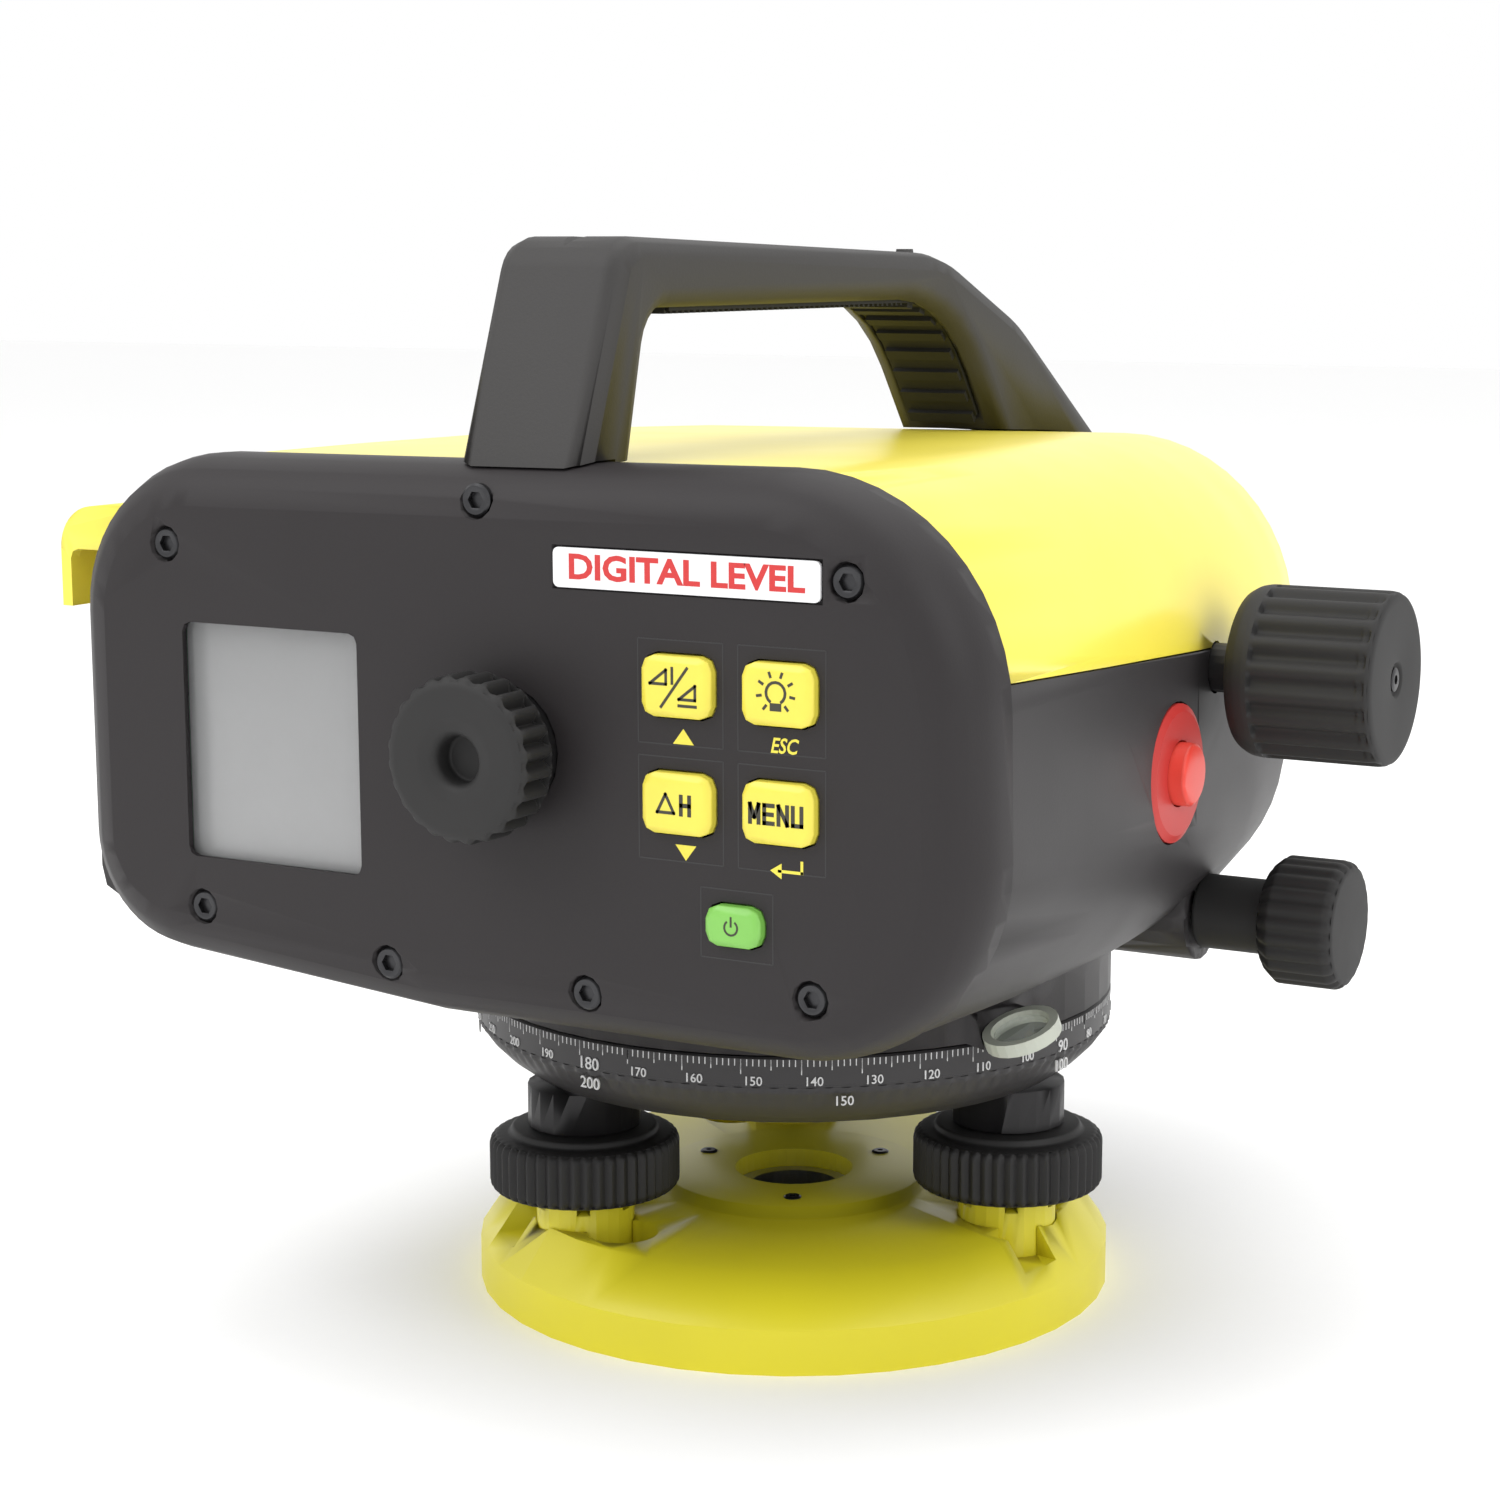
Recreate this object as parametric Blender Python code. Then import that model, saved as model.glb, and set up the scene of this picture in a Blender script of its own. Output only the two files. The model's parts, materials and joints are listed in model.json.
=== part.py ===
"""Digital automatic level: tribrach with three foot screws, degree circle, and a housing with a telescope.

Origin: centre of the base's underside, on the standing axis. +Y points to the objective, +X to the
focusing knob, +Z up. Sizes are in millimetres and are scaled to metres as each mesh is made.
"""

import math

import bmesh
import bpy
from mathutils import Vector

MM = 0.001
GAP = 0.3  # clearance between pieces that touch
RUN = 0.3  # running clearance round shafts and in slides
REACH = 60.0  # how far a cutter runs past what it cuts

# Base plate of the tribrach
BASE_RADIUS = 54.7
BASE_WALL_TOP = 7.5
BASE_TOP = 15.5
BASE_TOP_RADIUS = 49.0
BOSS_RADIUS = 23.4
BOSS_HEIGHT = 2.1
BORE_RADIUS = 10.3
RECESS_RADIUS = 47.0
RECESS_DEPTH = 3.2
RECESS_HUB_RADIUS = 16.0
POCKET_FLOOR = 6.0
POCKET_SLOT_RADIUS = 6.0
POCKET_SLOT_TURN = 15.0
NOTCH_WIDTH = 9.0
NOTCH_DEPTH = 5.0
NOTCH_TURN = 10.0
THREAD_RADIUS = 7.7
SPRING_THICK = 1.2
SPRING_INNER = 20.0

# Foot screws
FOOT_ANGLES = {"a": 0.0, "b": 120.0, "c": -120.0}
FOOT_CIRCLE = 41.0
FOOT_KNOB_RADIUS = 15.9
FOOT_KNOB_LOW = 20.5
FOOT_KNOB_HIGH = 31.8
FOOT_KNOB_COLLAR = 12.0
FOOT_RIBS = 18
FOOT_RIB_DEPTH = 0.7
SPINDLE_RADIUS = 3.5
BALL_RADIUS = 5.2
BALL_HEIGHT = 5.0
NUT_RADIUS = 8.2
NUT_NOTCHES = 3
NUT_NOTCH_WIDTH = 2.2
NUT_NOTCH_DEPTH = 2.2

# Tribrach head, circle and standing axis
SLEEVE_RADIUS = 9.4
SLEEVE_ROOF = 3.0
RING_RADIUS = 54.6
RING_TAPER = 6.8
RING_WIDTH = 8.4
RING_LOW_RADIUS = RING_RADIUS - RING_TAPER
RING_INNER = RING_RADIUS - RING_WIDTH
RING_LOW = 39.6
RING_HIGH = 52.0
RING_TAPER_TOP = 46.4
HEAD_TOP = 49.0
HUB_RADIUS = 13.5
BUSH_RADIUS = 8.0
AXLE_RADIUS = 6.0
AXLE_FLANGE_RADIUS = 11.0
AXLE_FLANGE_THICK = 4.0
AXLE_STUB_RADIUS = 3.7
AXLE_NUT_RADIUS = 7.0
AXLE_NUT_HEIGHT = 3.8

# Worm drive
WHEEL_TEETH = 32
WHEEL_PITCH_RADIUS = 17.0
WORM_PITCH_RADIUS = 4.45
TOOTH_HEIGHT = 0.7
TOOTH_CLEARANCE = 0.35
WHEEL_THICK = 7.0
WORM_LENGTH = 16.0
WORM_ROWS_PER_PITCH = 4
DRIVE_Z = 66.4
SHAFT_RADIUS = 3.0
ARM_RADIUS = 8.4
DRIVE_NECK_RADIUS = 6.3
DRIVE_KNOB_RADIUS = 10.75
DRIVE_NECK_LENGTH = 12.5
DRIVE_KNOB_LENGTH = 13.4
DRIVE_RIBS = 24
DRIVE_RIB_DEPTH = 0.5
DRIVE_SEAT = 0.2  # depth of the seat for the knob's neck in the end of the arm
DRIVE_Y = WHEEL_PITCH_RADIUS + WORM_PITCH_RADIUS

# Control panel
FACE_Y = -88.5
SEAM_Y = -75.0
FACE_LEFT = -81.6
FACE_RIGHT = 76.3
FACE_TOP = 146.2
FACE_BOTTOM = 62.0
TOP_SLOPE = 1.4
RIGHT_LEAN = 1.5
LEFT_RISE = 5.5
BEND_X = -15.0
CORNERS = {"top_left": 25.0, "top_right": 33.0, "low_right": 30.0, "low_left": 19.0}
CORNER_STEPS = 12
WALL = 2.5
ARM_END = FACE_RIGHT - 9.8
DRIVE_KNOB_START = ARM_END + DRIVE_NECK_LENGTH
DRIVE_KNOB_END = DRIVE_KNOB_START + DRIVE_KNOB_LENGTH
# How far behind the face each section of the panel lies, and how far it is drawn in
PANEL_ROWS = ((0.0, 7.5), (0.9, 4.6), (3.0, 2.0), (6.5, 0.5), (9.5, 0.0))
SCREW_PLACES = (
    (-61.5, 131.5), (-4.0, 140.4), (56.5, 131.7), (-56.3, 75.2), (-21.2, 70.1), (14.0, 69.6), (51.1, 73.1),
)
SCREW_WELL_RADIUS = 2.9
SCREW_WELL_DEPTH = 1.4
DISPLAY = {"left": -58.6, "right": -25.5, "low": 83.1, "high": 119.7}
DISPLAY_DEPTH = 1.3
WINDOW_THICK = 1.4
WINDOW_LIP = 1.5
MODULE_THICK = 4.0
BOARD_THICK = 1.6
BOARD_BACK = SEAM_Y - 2.0
BOARD_MARGIN = 2.0  # from the panel's wall to the board's edge
KEY_COLUMNS = (30.4, 46.6)
KEY_ROWS = (99.2, 115.8)
KEY_WIDTH = 11.3
KEY_HEIGHT = 8.8
POWER_PLACE = (39.4, 82.5)
POWER_WIDTH = 8.9
POWER_HEIGHT = 5.9
KEY_PROUD = 1.7
KEY_FLANGE = 1.2
KEY_FLANGE_THICK = 1.0
KEY_TRAVEL = 0.8
KEY_ROUND = 2.0
KEY_STEM = 1.8  # how far the stem behind a key is drawn in
WINDOW_ROUND = 1.5
LABEL = {"left": 9.6, "right": 52.7, "low": 128.7, "high": 134.4}
LABEL_THICK = 0.6
LABEL_SINK = 0.4

# Housing, lofted from the seam to the front
FRONT_Y = 118.0
BODY_STEP = 0.5
BELLY_DROP = 3.5
# Distance behind the front, then how far the sides, the top and the bottom are drawn in there
BODY_ROWS = (
    (158.0, 0.3, 0.0, 1.5), (118.0, 1.6, 0.3, 0.0), (86.0, 3.8, 1.1, 0.0), (62.0, 7.2, 1.9, 1.5),
    (42.0, 13.0, 3.0, 4.5), (26.0, 21.0, 4.2, 9.0), (14.0, 30.0, 6.4, 14.3), (6.0, 38.0, 10.1, 19.5),
    (1.5, 44.5, 15.1, 23.5), (0.0, 48.5, 18.6, 26.0),
)
SEAM_RISE = 3.5  # rise of the underside at the seam above the belly
INSET_START = 62.0  # from here forward the wall's thickness also counts along Y
SPLIT_SEAM = 117.3  # height of the line between cover and housing at the seam
SPLIT_FALL = 0.0545  # fall of that line for each millimetre forward
TURRET_FLOOR = 2.5
TURRET_TOP = 66.0
TURRET_OPEN = 3.0  # how far the turret's hollow runs on into the housing
LUG_HALF = 5.0
CHASSIS_THICK = 3.0
CHASSIS_HOLE = 19.5
PILLAR_NEAR = 28.0
PILLAR_FAR = 34.0
PILLAR_HALF = 12.0
BRIDGE_LOW = 76.0
BRIDGE_HIGH = 80.0
EAR_NEAR = 12.0
EAR_FAR = 16.0
EAR_HALF = 4.6

# Handle
HANDLE_HALF = 11.0
HANDLE_TOP = FACE_TOP + 31.8
HANDLE_ROUND = 3.0
GRIP_Z = HANDLE_TOP - 10.6
GRIP_REAR = SEAM_Y + 23.0
GRIP_BEND_Y = 40.6
GRIP_BEND_RADIUS = 38.0
GRIP_TURN = 51.5
GRIP_RUN = 27.0
GRIP_HALF = 7.0
GRIP_PROUD = 0.6
GRIP_THICK = 3.0
SIGHT_Y = 41.0
SIGHT_HALF = 1.4

# Telescope
SCOPE_Z = 104.4
TUBE_RADIUS = 20.0
TUBE_WALL = 2.2
TUBE_BORE = TUBE_RADIUS - TUBE_WALL
OBJECTIVE_RING_LENGTH = 10.0
OBJECTIVE_RING_RADIUS = TUBE_RADIUS + 0.5
OBJECTIVE_LIP = 4.5
OBJECTIVE_THICK = 6.0
EYE_END = FACE_Y - 12.0
EYE_RADIUS = 12.3
EYE_LENGTH = 8.0
EYE_HOLE = 3.6
EYE_RIBS = 26
EYE_RIB_DEPTH = 0.9
EYE_TUBE_RADIUS = 9.6
EYE_TUBE_BORE = 7.6
EYE_LENS_THICK = 4.0
SLIDER_WALL = 4.9
SLIDER_LENGTH = 16.0
SLIDER_BORE = TUBE_BORE - RUN - SLIDER_WALL
RACK_LENGTH = 30.0
RACK_WIDTH = 4.0
RACK_FAR = TUBE_BORE - 2.3
RACK_NEAR = RACK_FAR - RACK_WIDTH
RACK_THICK = 4.0
FOCUS_Y = 9.0
FOCUS_Z = 109.5
FOCUS_TRAVEL = 12.0
PINION_RADIUS = 3.0
SLIDER_REAR = FOCUS_Y + PINION_RADIUS + FOCUS_TRAVEL + 1.0  # clear of the pinion at the end of its travel
FOCUS_SHAFT_RADIUS = 2.2
FOCUS_BUSH_RADIUS = 4.0
FOCUS_KNOB_RADIUS = 13.9
FOCUS_KNOB_LENGTH = 24.7
FOCUS_KNOB_START = FACE_RIGHT + 1.7
FOCUS_KNOB_END = FOCUS_KNOB_START + FOCUS_KNOB_LENGTH
FOCUS_SHAFT_SEAT = 6.0
FOCUS_FLANGE = 4.5
FOCUS_RIBS = 24
FOCUS_RIB_DEPTH = 0.8
COMP_REAR = SEAM_Y + 12.0
COMP_FRONT = COMP_REAR + 36.0
EYE_TUBE_FRONT = COMP_REAR - GAP
COMP_HALF = 19.0
COMP_HIGH = 126.0
COMP_WALL = 3.0
COMP_WINDOW = 8.0
PENDULUM_PIVOT_Z = 121.5
PENDULUM_Y = -45.0
PENDULUM_HALF = 9.0
PENDULUM_LOW = 95.0
PENDULUM_HIGH = 116.0
SENSOR_THICK = 1.6
SENSOR_HALF = 14.0

# Trigger on the right side
TRIGGER_Y = -10.5
TRIGGER_Z = 95.2
TRIGGER_FACE = FACE_RIGHT - 1.7
BEZEL_RADIUS = 11.0
BEZEL_THICK = 6.0
BUTTON_RADIUS = 5.0
BUTTON_PROUD = 2.5
BUTTON_FLANGE = 7.0

# Battery compartment on the left side
CELL_RADIUS = 7.2
CELL_HEIGHT = 50.0
CELL_COUNT = 4
CELL_Z = 80.0
CELL_START = SEAM_Y + 2.8
CELL_MARGIN = 4.7  # from the inner side wall to the first cell, past the rounded corner
TRAY_WALL = 1.5
TRAY_REAR = CELL_START - 0.6
CELL_TIP = CELL_START + CELL_HEIGHT
COMP_LOW = CELL_Z + CELL_RADIUS + 1.8
TUBE_REAR = CELL_TIP + 1.0
DOOR_OUT = FACE_LEFT - 4.8
DOOR_RIM = 1.5
DOOR_HIGH = CELL_Z + CELL_RADIUS + GAP
DOOR_LOW = DOOR_HIGH - 2 * CELL_RADIUS - 2 * DOOR_RIM - 0.4
DOOR_REAR = CELL_START - 2.3
DOOR_FRONT = CELL_TIP + 4.7
DOOR_END_RIM = 2.5
DOOR_ROUND = 2.5
DOOR_LOW_ROUND = 7.0
HINGE_X = FACE_LEFT + 0.4
LATCH_LENGTH = 8.0
LATCH_HEIGHT = 7.0
LATCH_TRAVEL = 4.0
LATCH_DEPTH = 1.4
LATCH_PROUD = 0.9
LATCH_REAR = DOOR_REAR + 3.5
LATCH_LOW = (DOOR_LOW + DOOR_HIGH - LATCH_HEIGHT) / 2

# Circular level under its mirror hood, on the left side
HOOD_OUT = FACE_LEFT - 11.7
HOOD_LOW = 119.0
HOOD_HIGH = 134.6
HOOD_RISE = 2.6
HOOD_REAR = SEAM_Y - 1.5
HOOD_FRONT = SEAM_Y + 25.0
HOOD_WALL = 2.0
HOOD_ROUND = 7.0
HOOD_IN = FACE_LEFT + 11.6
HOOD_BROW = 128.3
MIRROR_THICK = 1.1
MIRROR_TOP = 130.0
MIRROR_LOW = 120.2
MIRROR_REAR = SEAM_Y + 5.5
VIAL_X = FACE_LEFT - 5.3
VIAL_Y = SEAM_Y + 13.0
VIAL_RADIUS = 5.0
VIAL_LOW = 106.0
VIAL_HIGH = 112.5
CUP_WALL = 1.0
CUP_LOW = 104.0
CUP_HIGH = 110.5

# Reading lens at the degree circle
LENS_OUT = 7.4  # from the ring to the lens's centre
LENS_ANGLE = -26.1
LENS_RISE = 3.2  # above the ring
LENS_NORMAL = (-0.185, -0.31, 0.93)
LENS_RING_RADIUS = 6.2
LENS_RADIUS = 4.5
LENS_HALF = 1.1
LENS_PLACE = (
    (RING_RADIUS + LENS_OUT) * math.cos(math.radians(LENS_ANGLE)),
    (RING_RADIUS + LENS_OUT) * math.sin(math.radians(LENS_ANGLE)),
    RING_HIGH + LENS_RISE,
)

FINISHES = {
    "yellow_casting": ((0.78, 0.68, 0.05), 0.45, 0.0),
    "yellow_shell": ((0.90, 0.80, 0.10), 0.40, 0.0),
    "yellow_key": ((0.88, 0.78, 0.12), 0.45, 0.0),
    "green_key": ((0.30, 0.62, 0.20), 0.45, 0.0),
    "dark_shell": ((0.085, 0.080, 0.082), 0.55, 0.0),
    "dark_panel": ((0.060, 0.056, 0.058), 0.55, 0.0),
    "black_rubber": ((0.020, 0.019, 0.019), 0.75, 0.0),
    "black_metal": ((0.045, 0.043, 0.044), 0.50, 0.4),
    "red_plastic": ((0.70, 0.10, 0.08), 0.45, 0.0),
    "white_label": ((0.85, 0.85, 0.85), 0.50, 0.0),
    "clear_glass": ((0.80, 0.86, 0.84), 0.05, 0.0),
    "mirror_glass": ((0.80, 0.80, 0.80), 0.05, 1.0),
    "display_grey": ((0.30, 0.31, 0.31), 0.40, 0.0),
    "circuit_green": ((0.03, 0.20, 0.08), 0.50, 0.0),
    "aluminium": ((0.62, 0.63, 0.64), 0.35, 1.0),
    "steel": ((0.50, 0.50, 0.52), 0.30, 1.0),
    "brass": ((0.72, 0.52, 0.22), 0.30, 1.0),
    "cell_wrap": ((0.12, 0.13, 0.15), 0.40, 0.0),
}


def clear_scene():
    for obj in list(bpy.data.objects):
        bpy.data.objects.remove(obj, do_unlink=True)


def finish_material(name):
    material = bpy.data.materials.get(name)
    if material is None:
        colour, roughness, metallic = FINISHES[name]
        material = bpy.data.materials.new(name)
        material.use_nodes = True
        shader = material.node_tree.nodes["Principled BSDF"]
        shader.inputs["Base Color"].default_value = (*colour, 1.0)
        shader.inputs["Roughness"].default_value = roughness
        shader.inputs["Metallic"].default_value = metallic
    return material


def world_place(obj):
    """Where an object's origin lies, in millimetres. Parents only shift their children."""
    place = Vector((0, 0, 0))
    while obj is not None:
        place += obj.location / MM
        obj = obj.parent
    return place


def empty(name, at=(0, 0, 0), parent=None):
    obj = bpy.data.objects.new(name, None)
    bpy.context.collection.objects.link(obj)
    obj.parent = parent
    obj.location = (Vector(at) - world_place(parent)) * MM
    return obj


def add(name, bm, finish, parent=None, at=(0, 0, 0)):
    """Makes an object of a bmesh drawn in millimetres about the object's own origin at 'at'."""
    bmesh.ops.recalc_face_normals(bm, faces=bm.faces)
    bmesh.ops.scale(bm, vec=(MM, MM, MM), verts=bm.verts)
    mesh = bpy.data.meshes.new(name)
    bm.to_mesh(mesh)
    bm.free()
    mesh.shade_smooth()
    mesh.set_sharp_from_angle(angle=math.radians(32))
    obj = bpy.data.objects.new(name, mesh)
    bpy.context.collection.objects.link(obj)
    obj.parent = parent
    obj.location = (Vector(at) - world_place(parent)) * MM
    if finish is None:
        obj.hide_render = True
        obj.display_type = "WIRE"
    else:
        mesh.materials.append(finish_material(finish))
    return obj


def on_axis(axis, radius, height, angle):
    u = radius * math.cos(angle)
    v = radius * math.sin(angle)
    return {"X": (height, u, v), "Y": (u, height, v), "Z": (u, v, height)}[axis]


def turned(name, profile, axis, finish=None, parent=None, at=(0, 0, 0), sides=32, loop=False):
    """Turns (radius, height) points about an axis. A third value cuts every second column that deep."""
    bm = bmesh.new()
    columns = []
    for index in range(sides):
        angle = math.tau * index / sides
        column = []
        for row, point in enumerate(profile):
            radius = point[0] - (point[2] if len(point) > 2 and index % 2 else 0.0)
            if radius == 0 and columns:
                column.append(columns[0][row])
            else:
                column.append(bm.verts.new(on_axis(axis, radius, point[1], angle)))
        columns.append(column)
    rows = len(profile) if loop else len(profile) - 1
    for index in range(sides):
        near = columns[index]
        far = columns[(index + 1) % sides]
        for row in range(rows):
            after = (row + 1) % len(profile)
            corners = list(dict.fromkeys((near[row], near[after], far[after], far[row])))
            if len(corners) > 2:
                bm.faces.new(corners)
    return add(name, bm, finish, parent, at)


def disc(radius, low, high):
    return ((0, low), (radius, low), (radius, high), (0, high))


def tube(inner, outer, low, high):
    return ((inner, low), (outer, low), (outer, high), (inner, high))


def loft(name, rings, finish=None, parent=None, at=(0, 0, 0)):
    """Joins rings of equal length with quads and closes both ends."""
    bm = bmesh.new()
    offset = Vector(at)
    made = [[bm.verts.new(Vector(point) - offset) for point in ring] for ring in rings]
    for near, far in zip(made, made[1:]):
        for index in range(len(near)):
            after = (index + 1) % len(near)
            bm.faces.new((near[index], near[after], far[after], far[index]))
    bm.faces.new(made[0])
    bm.faces.new(made[-1])
    return add(name, bm, finish, parent, at)


def spread(axis, along, u, v):
    return {"X": (along, u, v), "Y": (u, along, v), "Z": (u, v, along)}[axis]


def prism(name, outline, axis, low, high, finish=None, parent=None, at=(0, 0, 0)):
    rings = [[spread(axis, along, *point) for point in outline] for along in (low, high)]
    return loft(name, rings, finish, parent, at)


def block(name, low, high, finish=None, parent=None, at=(0, 0, 0)):
    corners = ((low[0], low[1]), (high[0], low[1]), (high[0], high[1]), (low[0], high[1]))
    return prism(name, corners, "Z", low[2], high[2], finish, parent, at)


def rounded(corners, steps=CORNER_STEPS):
    """Outline through (u, v, radius) corners, each radius limited by its edges."""
    outline = []
    for index, (u, v, radius) in enumerate(corners):
        corner = Vector((u, v))
        if radius <= 0:
            outline.append(corner)
            continue
        back = Vector(corners[index - 1][:2]) - corner
        ahead = Vector(corners[(index + 1) % len(corners)][:2]) - corner
        half = back.angle(ahead) / 2
        radius = min(radius, 0.49 * min(back.length, ahead.length) * math.tan(half))
        middle = corner + (back.normalized() + ahead.normalized()).normalized() * radius / math.sin(half)
        start = corner + back.normalized() * radius / math.tan(half) - middle
        end = corner + ahead.normalized() * radius / math.tan(half) - middle
        sweep = start.angle_signed(end)
        for step in range(steps + 1):
            turn = -sweep * step / steps
            spun = (
                start.x * math.cos(turn) - start.y * math.sin(turn),
                start.x * math.sin(turn) + start.y * math.cos(turn),
            )
            outline.append(middle + Vector(spun))
    return outline


def boolean(obj, operation, others):
    for other in others:
        modifier = obj.modifiers.new(f"{operation.lower()}_{other.name}", "BOOLEAN")
        modifier.operation = operation
        modifier.solver = "EXACT"
        modifier.object = other
    return obj


def cut(obj, *others):
    return boolean(obj, "DIFFERENCE", others)


def join(obj, *others):
    return boolean(obj, "UNION", others)


def bevel(obj, width, segments=2, angle=40.0):
    modifier = obj.modifiers.new("edge_rounding", "BEVEL")
    modifier.width = width * MM
    modifier.segments = segments
    modifier.limit_method = "ANGLE"
    modifier.angle_limit = math.radians(angle)
    return obj


def section(y, left, right, top, bottom, inset):
    """One closed section of the panel or the housing, drawn in by 'inset' all round."""
    radii = {name: max(radius - inset, 1.0) for name, radius in CORNERS.items()}
    left += inset
    right -= inset
    top -= inset
    bottom += inset
    corners = (
        (left, top - TOP_SLOPE, radii["top_left"]),
        (right - RIGHT_LEAN, top, radii["top_right"]),
        (right, bottom, radii["low_right"]),
        (BEND_X, bottom, 0.0),
        (left, bottom + LEFT_RISE, radii["low_left"]),
    )
    return [(x, y, z) for x, z in rounded(corners)]


def panel_section(y, inset):
    return section(y, FACE_LEFT, FACE_RIGHT, FACE_TOP, FACE_BOTTOM, inset)


def panel_solid(name, inset, rear, finish=None, parent=None):
    rings = [panel_section(FACE_Y + back + max(inset, -GAP), drawn + inset) for back, drawn in PANEL_ROWS]
    rings.append(panel_section(rear, inset))
    return loft(name, rings, finish, parent)


def body_solid(name, inset, rear, finish=None, parent=None):
    """The housing's outer form drawn in by 'inset'. A negative inset swells it."""
    left = FACE_LEFT + BODY_STEP
    right = FACE_RIGHT - BODY_STEP
    top = FACE_TOP - BODY_STEP
    bottom = FACE_BOTTOM - BELLY_DROP
    rings = [section(rear, left, right, top, bottom + SEAM_RISE, inset)]
    for back, sides, drop, rise in BODY_ROWS:
        forward = max(0.0, INSET_START - back) / INSET_START
        y = FRONT_Y - back - inset * forward
        rings.append(section(y, left + sides, right - sides, top - drop, bottom + rise, inset))
    return loft(name, rings, finish, parent)


def split_height(y):
    return SPLIT_SEAM - SPLIT_FALL * (y - SEAM_Y)


def half_space(name, above, shift):
    """A wide block above or below the line between cover and housing, moved by 'shift'."""
    rear = SEAM_Y - REACH
    front = FRONT_Y + REACH
    far = HANDLE_TOP if above else 0.0
    outline = (
        (rear, split_height(rear) + shift), (front, split_height(front) + shift), (front, far), (rear, far)
    )
    return prism(name, outline, "X", FACE_LEFT - REACH, FACE_RIGHT + REACH)


def round_cutter(name, radius, axis, low, high, at, sides=20):
    return turned(name, disc(radius, low, high), axis, at=at, sides=sides)


def foot_place(letter):
    angle = math.radians(FOOT_ANGLES[letter])
    return FOOT_CIRCLE * math.cos(angle), FOOT_CIRCLE * math.sin(angle)


def turned_block(name, near, far, half, low, high, angle):
    """A block that runs outwards from the standing axis at an angle."""
    obj = block(name, (near, -half, low), (far, half, high))
    obj.rotation_euler.z = math.radians(angle)
    return obj


def make_base(root):
    boss_top = BASE_TOP + BOSS_HEIGHT
    hub_low = 0.8
    profile = (
        (BORE_RADIUS, hub_low), (RECESS_HUB_RADIUS, hub_low), (RECESS_HUB_RADIUS, RECESS_DEPTH),
        (RECESS_RADIUS, RECESS_DEPTH), (RECESS_RADIUS, 0), (BASE_RADIUS, 0), (BASE_RADIUS, BASE_WALL_TOP),
        (BASE_TOP_RADIUS, BASE_TOP), (BOSS_RADIUS, BASE_TOP), (BOSS_RADIUS - 0.6, boss_top),
        (BORE_RADIUS, boss_top),
    )
    base = turned("base_plate", profile, "Z", "yellow_casting", root, sides=40, loop=True)
    above = BASE_TOP + REACH
    outside = BASE_RADIUS + REACH
    notch_near = BASE_TOP_RADIUS - NOTCH_DEPTH
    notch_low = BASE_TOP - NOTCH_DEPTH
    for letter, angle in FOOT_ANGLES.items():
        x, y = foot_place(letter)
        pocket = round_cutter(f"pocket_{letter}", NUT_RADIUS + GAP, "Z", POCKET_FLOOR, above, (x, y, 0))
        turn = math.radians(angle + POCKET_SLOT_TURN)
        slot_at = (FOOT_CIRCLE * math.cos(turn), FOOT_CIRCLE * math.sin(turn), 0)
        slot = round_cutter(f"slot_{letter}", POCKET_SLOT_RADIUS, "Z", POCKET_FLOOR + GAP, above, slot_at)
        notch_angle = angle - NOTCH_TURN
        notch = turned_block(
            f"notch_{letter}", notch_near, outside, NOTCH_WIDTH / 2, notch_low, above, notch_angle
        )
        cut(base, pocket, slot, notch)
    insert_low = hub_low + GAP
    insert = (
        (THREAD_RADIUS, insert_low), (BORE_RADIUS - GAP, insert_low), (BORE_RADIUS - GAP, BASE_TOP - 1),
        (THREAD_RADIUS, BASE_TOP - 1),
    )
    turned("thread_insert", insert, "Z", "steel", root, sides=32, loop=True)
    spring_low = RECESS_DEPTH - SPRING_THICK - GAP
    spring = tube(SPRING_INNER, RECESS_RADIUS - 2, spring_low, spring_low + SPRING_THICK)
    turned("spring_plate", spring, "Z", "steel", root, sides=32, loop=True)


def make_foot_nut(letter, root):
    """Castellated nut that holds the ball end of one foot screw in its pocket."""
    x, y = foot_place(letter)
    low = POCKET_FLOOR + GAP
    shoulder = low + GAP + BALL_HEIGHT + RUN
    high = FOOT_KNOB_LOW - GAP
    ball_bore = BALL_RADIUS + RUN
    throat = SPINDLE_RADIUS + RUN
    profile = (
        (ball_bore, low), (NUT_RADIUS, low), (NUT_RADIUS, high), (throat, high), (throat, shoulder),
        (ball_bore, shoulder),
    )
    nut = turned(f"foot_nut_{letter}", profile, "Z", "yellow_casting", root, (x, y, 0), sides=24, loop=True)
    for index in range(NUT_NOTCHES):
        name = f"nut_notch_{letter}{index}"
        notch_low = (-REACH / 4, -NUT_NOTCH_WIDTH / 2, high - NUT_NOTCH_DEPTH)
        notch = block(name, notch_low, (REACH / 4, NUT_NOTCH_WIDTH / 2, high + NUT_NOTCH_DEPTH))
        notch.location = (x * MM, y * MM, 0)
        notch.rotation_euler.z = math.pi * index / NUT_NOTCHES
        cut(nut, notch)


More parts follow.
